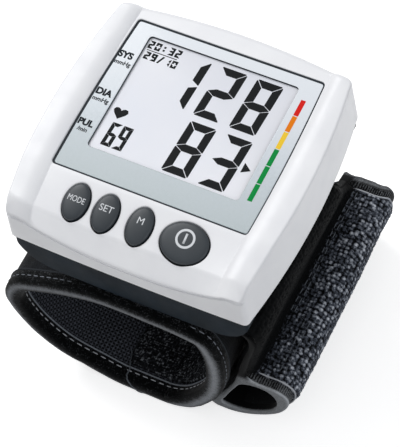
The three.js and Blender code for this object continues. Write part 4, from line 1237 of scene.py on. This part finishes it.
# How far from the tape's border the waves fade out, and the puckers
WAVE_FADE = 2.5
PUCKER_REACH = 4.5


def cloth_tube(name, outer_inset, inner_inset, waves, pucker, material, node, outside):
    """A cloth tube whose shown side is waved, and puckered where the edge tape is sewn on."""
    ys = np.linspace(-CLOTH_END, CLOTH_END, CLOTH_ROWS)
    room = CUFF_BORDER - np.abs(ys)
    wave = ripple(cuff_along[None], ys[:, None], cuff_length, waves)
    folds = ripple(cuff_along[None], ys[:, None] * 0, cuff_length, [(pucker, 29, 0), (pucker * 0.7, 43, 0)])
    tuck = np.exp(-np.clip(room, 0, None) / PUCKER_REACH)
    relief = (wave + folds * tuck[:, None]) * np.clip(room / WAVE_FADE, 0, 1)[:, None]
    outer, inner = (relief, 0 * relief) if outside else (0 * relief, relief)
    stations = list(zip(outer_inset + outer, ys)) + list(zip(inner_inset + inner, ys))[::-1]
    return tube(name, cuff_curve, cuff_length, stations, material, "root", "cuff_cloth", [node])


# Waves: height, how many go round, and their slope across
SLEEVE_WAVES = [(0.12, 3, 0.11), (0.08, 7, -0.16), (0.05, 12, 0.3)]
LINER_WAVES = [(0.16, 4, 0.12), (0.1, 9, -0.2), (0.05, 14, 0.33)]
sleeve = cloth_tube("cuff_cloth", 0.25, 1.1, SLEEVE_WAVES, 0.09, SLEEVE, "cuff_sleeve", outside=True)
cloth_tube("cuff_lining", 3.6, 4.2, LINER_WAVES, 0.12, LINER, "cuff_liner", outside=False)

TAPE_OUTER = -CUFF_TAPE_PROUD
TAPE_INNER = CUFF_THICKNESS + CUFF_TAPE_PROUD
STITCH_OUTSIDE = 2.5
STITCH_INSIDE = 3.3
STITCH_DASH = 1.7
SHADED_DASH = 1.3
STITCH_PITCH = 2.5
THREAD_SINK = 0.05
PIPING_THICK = 0.5
# Painted sheen on the tape's fold, by the side of the cuff that it is on, in degrees: the turn of the fold
# that is palest, how far from it the painted sheen reaches, and how pale it makes it
PAINTED_SHEEN_SIDES = [0, 90, 180, 270, 360]
PAINTED_SHEEN_TURN = [88, 100, 62, 58, 88]
PAINTED_SHEEN_REACH = [34, 28, 26, 24, 34]
PAINTED_SHEEN_STRENGTH = [0.85, 0.62, 0.6, 0.55, 0.85]
FOLD_STEPS = 16
TAPE_WAVES = [(0.07, 11, 0), (0.05, 23, 0), (0.04, 37, 0)]
# How far the tape's fold stands out at the cuff's end
FOLD_REACH = 1.3
SIDE_END = CUFF_END - 1.6
# The tape's flat sides, in the order of its section: how far it is drawn in, distance from the border,
# painted light
OUTER_SIDE = [(0.5, 0, 0), (0.16, 0.1, 0.02), (0, 0.3, 0.02), (0, 1.4, -0.02)]
INNER_SIDE = [(0, 1.4, -0.05), (0, 0.3, 0), (-0.16, 0.1, 0), (-0.5, 0, 0)]
# The seam where the tape overlaps its start: its shares of the way round
OVERLAP_INNER = 0.006
OVERLAP_OUTER = 0.055
OVERLAP_TAIL = 0.018
OVERLAP_STEPS = 6
# Under the case the stitches get a darker thread as painted shade, for this share of the way round on both
# sides of the middle
UNDER_CASE = 0.08
UNDER_MIDDLE = (-3, LOOP_HEIGHT)
PINCH_SHARE = 0.936
PINCH_WIDTH = 0.012
PINCH_DEPTH = 0.9


def build_cuff_edge(end, label):
    """Tape folded over the cuff's edge, its stitches, and a thin piping along both of its borders."""
    middle, half = (TAPE_OUTER + TAPE_INNER) / 2, (TAPE_INNER - TAPE_OUTER) / 2
    profile = [(TAPE_OUTER + rise, CUFF_BORDER + y, light) for rise, y, light in OUTER_SIDE]
    profile.append((TAPE_OUTER, SIDE_END, -0.04))
    normals = outward(cuff_curve)
    facing = np.degrees(np.arctan2(normals[:, 1], normals[:, 0])) % 360
    # Painted sheen on the fold where light would graze it, and small painted offsets of light on the flat
    # sides
    painted_sheen_turn, painted_sheen_reach, painted_sheen_strength = (np.interp(facing, PAINTED_SHEEN_SIDES, values)
                                            for values in (PAINTED_SHEEN_TURN, PAINTED_SHEEN_REACH, PAINTED_SHEEN_STRENGTH))
    for step in range(FOLD_STEPS + 1):
        turn = math.pi * step / FOLD_STEPS
        squared = abs(math.sin(turn)) ** 0.7
        painted_sheen = painted_sheen_strength * np.exp(-((math.degrees(turn) - painted_sheen_turn) / painted_sheen_reach) ** 2)
        y = CUFF_END - FOLD_REACH + FOLD_REACH * squared
        profile.append((middle - half * math.cos(turn), y, painted_sheen - 0.06))
    profile.append((TAPE_INNER, SIDE_END, -0.06))
    profile += [(TAPE_INNER + rise, CUFF_BORDER + y, light) for rise, y, light in INNER_SIDE]
    share = cuff_along / cuff_length
    pinch = PINCH_DEPTH * np.exp(-((share - PINCH_SHARE) / PINCH_WIDTH) ** 2) if end < 0 else 0
    ripples = ripple(cuff_along, 0, cuff_length, TAPE_WAVES)
    stations, tone_and_painted_light = [], []
    for inset, y, light in profile:
        outward_share = np.clip((middle - inset) / half, 0, 1)
        rim = np.clip((y - CUFF_BORDER) / CUFF_TAPE, 0, 1)
        stations.append((inset + (pinch + ripples) * outward_share * rim, end * y))
        tone_and_painted_light.append(np.broadcast_to(light, len(share)))
    tape = tube("cuff_edge_" + label, cuff_curve, cuff_length, stations, TAPE, "root", "binding_tape",
                ["cuff_binding_" + label], np.concatenate(tone_and_painted_light))
    outside, inner = TAPE_OUTER + THREAD_SINK, TAPE_INNER - THREAD_SINK
    row = ring_at(cuff_curve, outside, end * (CUFF_END - STITCH_OUTSIDE))
    row = np.roll(row, -int(np.argmin(np.linalg.norm(cuff_curve - UNDER_MIDDLE, axis=1))), 0)
    reach = round(UNDER_CASE * len(row))
    # Painted shade: the darkest thread under the case, and the rest of the outer row darker than the inner
    # row
    stitches("cuff_stitch_shaded_" + label, np.roll(row, reach, 0)[:2 * reach], SHADED_DASH, STITCH_PITCH,
             0.3, SHADE_THREAD, closed=False)
    stitches("cuff_stitch_outside_" + label, row[reach:-reach], STITCH_DASH, STITCH_PITCH, 0.34, DARK_THREAD,
             closed=False)
    piping("cuff_piping_outside_" + label, ring_at(cuff_curve, outside, end * CUFF_BORDER), PIPING_THICK,
           SHADE_THREAD)
    stitches("cuff_stitch_inside_" + label, ring_at(cuff_curve, inner, end * (CUFF_END - STITCH_INSIDE)),
             STITCH_DASH, STITCH_PITCH, 0.36, THREAD)
    # The inner piping marks the seam at the tape's inner edge; its pale line is partly painted highlight
    piping("cuff_piping_inside_" + label, ring_at(cuff_curve, inner, end * CUFF_BORDER), PIPING_THICK,
           DARK_THREAD)
    return stations


front_stations = build_cuff_edge(-1, "front")
build_cuff_edge(1, "rear")


def build_overlap_seam():
    """The raised end of the tape, where it overlaps its own start and sweeps towards the border."""
    steps = OVERLAP_STEPS
    seam = [(CUFF_THICKNESS - 0.1, -CUFF_BORDER + steps - step,
             OVERLAP_INNER - OVERLAP_TAIL * (steps - step) / steps) for step in range(steps - 1)]
    shares = OVERLAP_INNER + (OVERLAP_OUTER - OVERLAP_INNER) * np.linspace(0, 1, len(front_stations)) ** 1.6
    seam += [(inset, y, share) for (inset, y), share in zip(front_stations[::-1], shares)]
    path = []
    for inset, y, share in seam:
        at = round(share * len(cuff_curve)) % len(cuff_curve)
        depth = np.broadcast_to(inset, (len(cuff_curve),))[at]
        place = cuff_curve[at] - outward(cuff_curve)[at] * depth
        path.append((place[0], y, max(place[1], 0.1)))
    piping("cuff_overlap_seam", np.array(path), PIPING_THICK, DIM_THREAD, (1, 0, 0), closed=False, taper=True)


build_overlap_seam()

# Patch of hooked pile on the lining
PATCH_START = -0.006
PATCH_END = 0.2
PATCH_REACH = 30.2
PATCH_CORNER = 4.0
HOOK_PITCH = 0.75
PATCH_ROWS = (130, 170)
PATCH_EDGE = 0.8
PATCH_THICKNESS = 0.5


def build_patch():
    first, last = PATCH_START * cuff_length, PATCH_END * cuff_length
    us = np.linspace(first, last, PATCH_ROWS[0])
    vs = np.linspace(-PATCH_REACH, PATCH_REACH, PATCH_ROWS[1])
    u, v = np.meshgrid(us, vs, indexing="ij")
    height, light = boucle(u, v, cuff_length, HOOK_PITCH)
    normals = outward(cuff_curve)
    edge_u = np.minimum(u - first, last - u)
    edge_v = PATCH_REACH - np.abs(v)
    corner_u, corner_v = np.clip(PATCH_CORNER - edge_u, 0, None), np.clip(PATCH_CORNER - edge_v, 0, None)
    depth = PATCH_CORNER - np.hypot(corner_u, corner_v)
    raised = np.clip(depth / PATCH_EDGE, 0, 1) ** 0.5
    inset = CUFF_THICKNESS - 0.1 + raised * (0.75 + 0.3 * height)
    across, up, out_across, out_up = (
        np.interp(u, cuff_along, values, period=cuff_length) for values in (*cuff_curve.T, *normals.T))
    x = across - out_across * inset
    z = up - out_up * inset
    rows, columns = u.shape
    number = np.arange(rows * columns).reshape(rows, columns)
    quads = np.stack([number[:-1, :-1], number[1:, :-1], number[1:, 1:], number[:-1, 1:]], -1)
    kept = depth > -0.2
    keep = kept[:-1, :-1] & kept[1:, 1:] & kept[1:, :-1] & kept[:-1, 1:]
    points = np.stack([x, v, z], -1).reshape(-1, 3)
    patch = make_piece("fastener_pad", points, quads[keep].tolist(), HOOK, None, sharp=None,
                       uv=np.stack([u, v], -1).reshape(-1, 2), tone_and_painted_light=light.ravel())
    reshape(patch.data, lambda shaped: bmesh.ops.delete(
        shaped, geom=[vertex for vertex in shaped.verts if not vertex.link_faces], context="VERTS"))
    thick = patch.modifiers.new("thickness", "SOLIDIFY")
    thick.thickness = PATCH_THICKNESS * MM
    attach(patch, "root")
    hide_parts("fastener_patch")


build_patch()

# Strap: looped cloth over a soft core, with ribbed tape on both ends and a room in its curl, dark with
# painted shade
PILE_PROUD = 0.5
PILE_HEIGHT = 0.5
STRAP_WAVES = [(0.18, 2, 0.1), (0.12, 5, -0.14), (0.08, 9, 0.22)]
STRAP_TAPE_INSET = 0.5
LOOP_PITCH = 1.15
TAPE_ROUNDING = 0.7
MOUTH_ROUNDING = 0.5
STRAP_STEP = 0.3
# From the first to the second height the tape narrows, and tape and cloth get darker as painted shade, from
# the roll to the upright part
ROLL_TOP = 26
ROLL_END = 29
TURNED_IN = 1.2
UPRIGHT_PAINTED_SHADE = 0.3
# Painted light on top of the roll, less towards the valley as painted shade, and the painted light's share
# above this height, as painted shade for the case's shadow
VALLEY_ACROSS = [27.5, 33.5]
VALLEY_PAINTED_LIGHT = [0.3, 1]
SHADE_HEIGHT = 27
PAINTED_CASE_SHADOW = 0.25
# How far the cloth goes under the tape
CLOTH_UNDER_TAPE = 0.6
# Along its ends the cloth rises from this depth to its full height
CLOTH_SINK = 1.2
CLOTH_RISE = 1.4
CORE_INSET = 2.4
# The rear tape is darker, as painted shade
REAR_PAINTED_LIGHT = 0.3
# Rows of the curl's mouth, and the painted shade on them
MOUTH_ROWS = 6
MOUTH_PAINTED_SHADE = -0.4
TAPE_ROWS = 12
# Under the cloth the tape ends in rings that are drawn in by these
TAPE_HEM = (0.25, 1.2)
# The piping's reach from the strap's outermost point, to its underside and to the valley
PIPING_BELOW = 34
PIPING_ABOVE = 24
strap_curve, strap_length = closed_curve(STRAP_SHARES, STRAP_LEFT, STRAP_WIDTH, STRAP_HEIGHT, STRAP_STEP)
strap_along = np.arange(len(strap_curve)) * strap_length / len(strap_curve)
curl_curve, _ = closed_curve(CURL_SHARES, STRAP_LEFT, STRAP_WIDTH, STRAP_HEIGHT, 0.5)


def upright(heights):
    """0 on the roll and 1 on the part over it."""
    return np.clip((heights - ROLL_TOP) / (ROLL_END - ROLL_TOP), 0, 1)


def join_bodies(piece):
    """Bakes the piece's placement into its mesh."""
    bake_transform(piece)


def end_face(end, heights):
    """Where the strap's end face lies at each height. Under the case its rear corner slopes away."""
    if end < 0:
        return np.full(len(heights), float(STRAP_FRONT))
    return np.interp(heights, SHOULDER_HEIGHTS, SHOULDER_REAR)


def tape_width(heights):
    """The tape goes round the roll only; above it the end is narrowly turned in."""
    return np.interp(heights, [ROLL_TOP, ROLL_END], [STRAP_TAPE_WIDTH, TURNED_IN])


def build_strap_cloth():
    heights = strap_curve[:, 1]
    low = end_face(-1, heights) + tape_width(heights) - CLOTH_UNDER_TAPE
    high = end_face(1, heights) - tape_width(heights) + CLOTH_UNDER_TAPE
    rows = round((STRAP_REAR - STRAP_FRONT) / STRAP_STEP)
    share = np.linspace(0, 1, rows)[:, None]
    v = low[None] * (1 - share) + high[None] * share
    u = np.broadcast_to(strap_along[None], v.shape)
    height, light = boucle(u, v, strap_length, LOOP_PITCH)
    facing, rising = outward(strap_curve).T
    on_roll = heights < SHADE_HEIGHT + 1
    outer_side = np.clip(np.maximum(facing + 0.3, (rising - 0.3) * on_roll) / 0.3, 0, 1)
    height = height * outer_side
    # Painted shade towards the valley, above the roll where the case shades it, and on the upright part
    on_top = np.interp(strap_curve[:, 0], VALLEY_ACROSS, VALLEY_PAINTED_LIGHT)
    light = light * outer_side * np.where(heights > SHADE_HEIGHT, PAINTED_CASE_SHADOW, on_top)
    light = light - UPRIGHT_PAINTED_SHADE * upright(heights)
    swell = ripple(u, v, strap_length, STRAP_WAVES)
    raised = np.sqrt(np.clip((np.minimum(v - low[None], high[None] - v) - 0.2) / CLOTH_RISE, 0, 1))
    outer = -(PILE_PROUD + PILE_HEIGHT * height + swell) * raised + (1 - raised) * CLOTH_SINK
    stations = [(outer[row], v[row]) for row in range(rows)]
    stations += [(CORE_INSET, high), (CORE_INSET, low)]
    tone_and_painted_light = np.concatenate([light.ravel(), np.zeros(2 * len(strap_curve))])
    cloth = tube("strap_cloth", strap_curve, strap_length, stations, PILE, None, "loop_pile",
                 ["strap", "strap_root"], tone_and_painted_light=tone_and_painted_light)
    join_bodies(cloth)


build_strap_cloth()


def build_strap_end(end, label):
    """Ribbed tape round one end of the strap, closed by its folded edge, with the curl's mouth in it."""
    fine, length = closed_curve(STRAP_SHARES, STRAP_LEFT, STRAP_WIDTH, STRAP_HEIGHT, 0.2)
    normals = outward(fine)
    border = ring_at(fine, STRAP_TAPE_INSET, 0)[:, [0, 2]]
    sheet = Sheet()
    rim = sheet.rounded(border, normals, TAPE_ROUNDING, 5)
    mouth = sheet.rounded(curl_curve, -outward(curl_curve), MOUTH_ROUNDING, 4)
    places, falls, faces, index = sheet.triangles()
    across, heights = places.T
    face_y = end_face(end, heights) - end * falls
    skin = Skin(np.column_stack([across, face_y, np.maximum(heights, FLOOR_GAP)]), faces)
    # Painted light on the tape: the front paler than the rear, paler towards rounded edges and darker along
    # its wrap; painted shade on the upright part and in the curl's mouth
    painted_light_share = 1 if end < 0 else REAR_PAINTED_LIGHT
    painted_light = painted_light_share * (0.5 + 0.5 * np.clip(falls / MOUTH_ROUNDING, 0, 1))
    tone_and_painted_light = [(1 - upright(heights)) * painted_light - UPRIGHT_PAINTED_SHADE * upright(heights)]
    along = [np.zeros(len(places))]
    loop = [index[i] for i in rim]
    heights = fine[:, 1]
    steps = [(STRAP_TAPE_INSET, s) for s in np.linspace(0.3, 1.0, TAPE_ROWS)]
    steps += [(STRAP_TAPE_INSET + drawn_in, 1.0) for drawn_in in TAPE_HEM]
    for inset, share in steps:
        y = end_face(end, heights) - end * tape_width(heights) * share
        loop = skin.join(loop, ring_at(fine, inset, y))
        painted_light = (0.24 - 0.16 * share) * painted_light_share
        tone_and_painted_light.append((1 - upright(heights)) * painted_light - UPRIGHT_PAINTED_SHADE * upright(heights))
        along.append(np.arange(len(fine)) * length / len(fine))
    loop = [index[i] for i in mouth]
    for y in np.linspace(end * 1.5, end * (STRAP_REAR - STRAP_FRONT) / 2, MOUTH_ROWS):
        loop = skin.join(loop, ring_at(curl_curve, 0, (STRAP_FRONT if end < 0 else STRAP_REAR) - y))
        tone_and_painted_light.append(np.full(len(curl_curve), MOUTH_PAINTED_SHADE))
        along.append(np.zeros(len(curl_curve)))
    points, faces = skin.points, skin.faces
    uv = np.stack([np.concatenate(along), points[:, 1]], 1)
    tape = make_piece("strap_edge_" + label, points, faces, STRAP_TAPE, None, "binding_tape",
                      ["strap_binding_" + label], sharp=None, uv=uv, tone_and_painted_light=np.concatenate(tone_and_painted_light))
    join_bodies(tape)
    roll = strap_curve[:, 1] < SHADE_HEIGHT
    line = ring_at(strap_curve, -0.1, end_face(end, strap_curve[:, 1]) - end * (STRAP_TAPE_WIDTH - 0.1))
    first = int(np.argmax(strap_curve[:, 0] + strap_curve[:, 1] * 0.2))
    reach = range(-round(PIPING_BELOW / STRAP_STEP), round(PIPING_ABOVE / STRAP_STEP))
    order = [(first + i) % len(strap_curve) for i in reach]
    line = line[[i for i in order if roll[i]]]
    cord = piping("strap_piping_" + label, line, PIPING_THICK, THREAD, closed=False, taper=True, body=None)
    join_bodies(cord)


build_strap_end(-1, "front")
build_strap_end(1, "rear")


# Place in the strap's section, and front and rear end
STRAP_ROWS = [("valley", (29.2, 26.6), -8, 34), ("crown", (34.2, 26.2), -25, -7)]
# In points of the strap's curve
ROW_APART = 4


def build_strap_rows():
    """Pairs of stitch rows that run along the strap, near the valley and on top of the roll."""
    for name, near, start, stop in STRAP_ROWS:
        at = int(np.argmin(np.linalg.norm(strap_curve - near, axis=1)))
        for number, step in enumerate((0, ROW_APART)):
            x, z = (strap_curve + outward(strap_curve) * (PILE_PROUD + 0.6))[(at - step) % len(strap_curve)]
            ys = np.linspace(start, stop, 40)
            path = np.stack([x + 0.15 * np.sin(ys / 5 + number), ys, np.full(len(ys), z)], 1)
            join_bodies(stitches(f"strap_row_{name}_{number + 1}", path, 1.9, 2.7, 0.3, DIM_THREAD, UPWARD,
                                 False, None))


build_strap_rows()

# The CAD solids that still show, or would if the case were open
FINISHES = {
    "white_shell": WHITE, "dark_shell": SLATE, "button_plastic": BUTTON, "window_panel": PANEL,
    "display_panel": LCD, "frame_plastic": FRAME_GREY, "mat_rubber": MAT_RUBBER, "board": BOARD,
    "steel": STEEL, "cell_can": CAN, "black_plastic": BLACK, "hose_rubber": HOSE_RUBBER, "cuff_cloth": SLEEVE,
    "binding_tape": TAPE, "loop_pile": PILE, "hook_pad": HOOK, "bladder_film": FILM,
}
for subpart in frame["record"]["subparts"]:
    node = nodes[subpart["node"]]
    if not node.material_slots:
        node.data.materials.append(None)
    for material_slot in node.material_slots:
        material_slot.material = FINISHES[subpart["material_slot"]]

# Camera, at the photograph's place
camera_data = bpy.data.cameras.new("camera")
camera_data.lens = FOCAL_PIXELS / IMAGE_HEIGHT * SENSOR
camera_data.sensor_width = SENSOR
camera_data.clip_end = CAMERA_SIGHT
camera = new_object("camera", camera_data)
camera.matrix_world = Matrix([
    [CAMERA_RIGHT[i], CAMERA_UP[i], CAMERA_BACK[i], CAMERA_PLACE[i] * MM] for i in range(3)
] + [[0, 0, 0, 1]])
bpy.context.scene.camera = camera


# Floor and light
FLOOR_REACH = 3000
# Each for rays from diffuse surfaces, and for those from the camera and through or off glossy surfaces
FLOOR_TONES = (0.5, 0.9)
FLOOR_LIFTS = (0, 0.6)
WORLD_LIGHTS = (0.42, 1)


def set_by_ray(tree, socket, values):
    """Gives a socket the second value for rays from the camera and through or off glossy surfaces."""
    rays = tree.nodes.new("ShaderNodeLightPath")
    total = rays.outputs["Is Camera Ray"]
    for label in ("Is Glossy Ray", "Is Transmission Ray"):
        node = tree.nodes.new("ShaderNodeMath")
        node.operation = "MAXIMUM"
        tree.links.new(total, node.inputs[0])
        tree.links.new(rays.outputs[label], node.inputs[1])
        total = node.outputs[0]
    choice = tree.nodes.new("ShaderNodeMapRange")
    choice.inputs["To Min"].default_value, choice.inputs["To Max"].default_value = values
    tree.links.new(total, choice.inputs["Value"])
    tree.links.new(choice.outputs["Result"], socket)


floor_mesh = bpy.data.meshes.new("floor")
floor_corners = np.array([(-1, -1, 0), (1, -1, 0), (1, 1, 0), (-1, 1, 0)])
floor_mesh.from_pydata(floor_corners * FLOOR_REACH * MM, [], [(0, 1, 2, 3)])
floor = new_object("floor", floor_mesh)
floor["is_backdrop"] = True
floor_look = Look("floor", "ffffff", 0.9, specular_ior_level=0.1, emission_color="ffffff")
set_by_ray(floor_look.tree, floor_look.shader.inputs["Base Color"], FLOOR_TONES)
set_by_ray(floor_look.tree, floor_look.shader.inputs["Emission Strength"], FLOOR_LIFTS)
floor_mesh.materials.append(floor_look.material)

world = bpy.data.worlds.new("world")
bpy.context.scene.world = world
world.use_nodes = True
background = world.node_tree.nodes["Background"]
background.inputs["Color"].default_value = (1, 1, 1, 1)
set_by_ray(world.node_tree, background.inputs["Strength"], WORLD_LIGHTS)


LIGHT_TARGET = Vector((0, 0, 0.05))


def softbox(name, place, size, power, tint=(1, 1, 1)):
    """A square light. Its place and size are in metres, its power in watts."""
    data = bpy.data.lights.new(name, "AREA")
    data.shape = "SQUARE"
    data.size = size
    data.energy = power
    data.color = tint
    lamp = new_object(name, data)
    lamp.location = place
    lamp.rotation_euler = (LIGHT_TARGET - Vector(place)).to_track_quat("-Z", "Y").to_euler()


softbox("key_light", (-0.75, 0.35, 1.05), size=0.7, power=9.7)
softbox("fill_light", (1.05, -0.3, 0.7), size=0.8, power=3.4, tint=(0.9, 0.94, 1.0))

bpy.context.scene.view_settings.view_transform = "Standard"


def corners(box):
    return [[float(value) for value in corner] for corner in box]


bpy.context.view_layer.update()
{"cad": corners(cad_box), "visual": corners(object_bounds())}
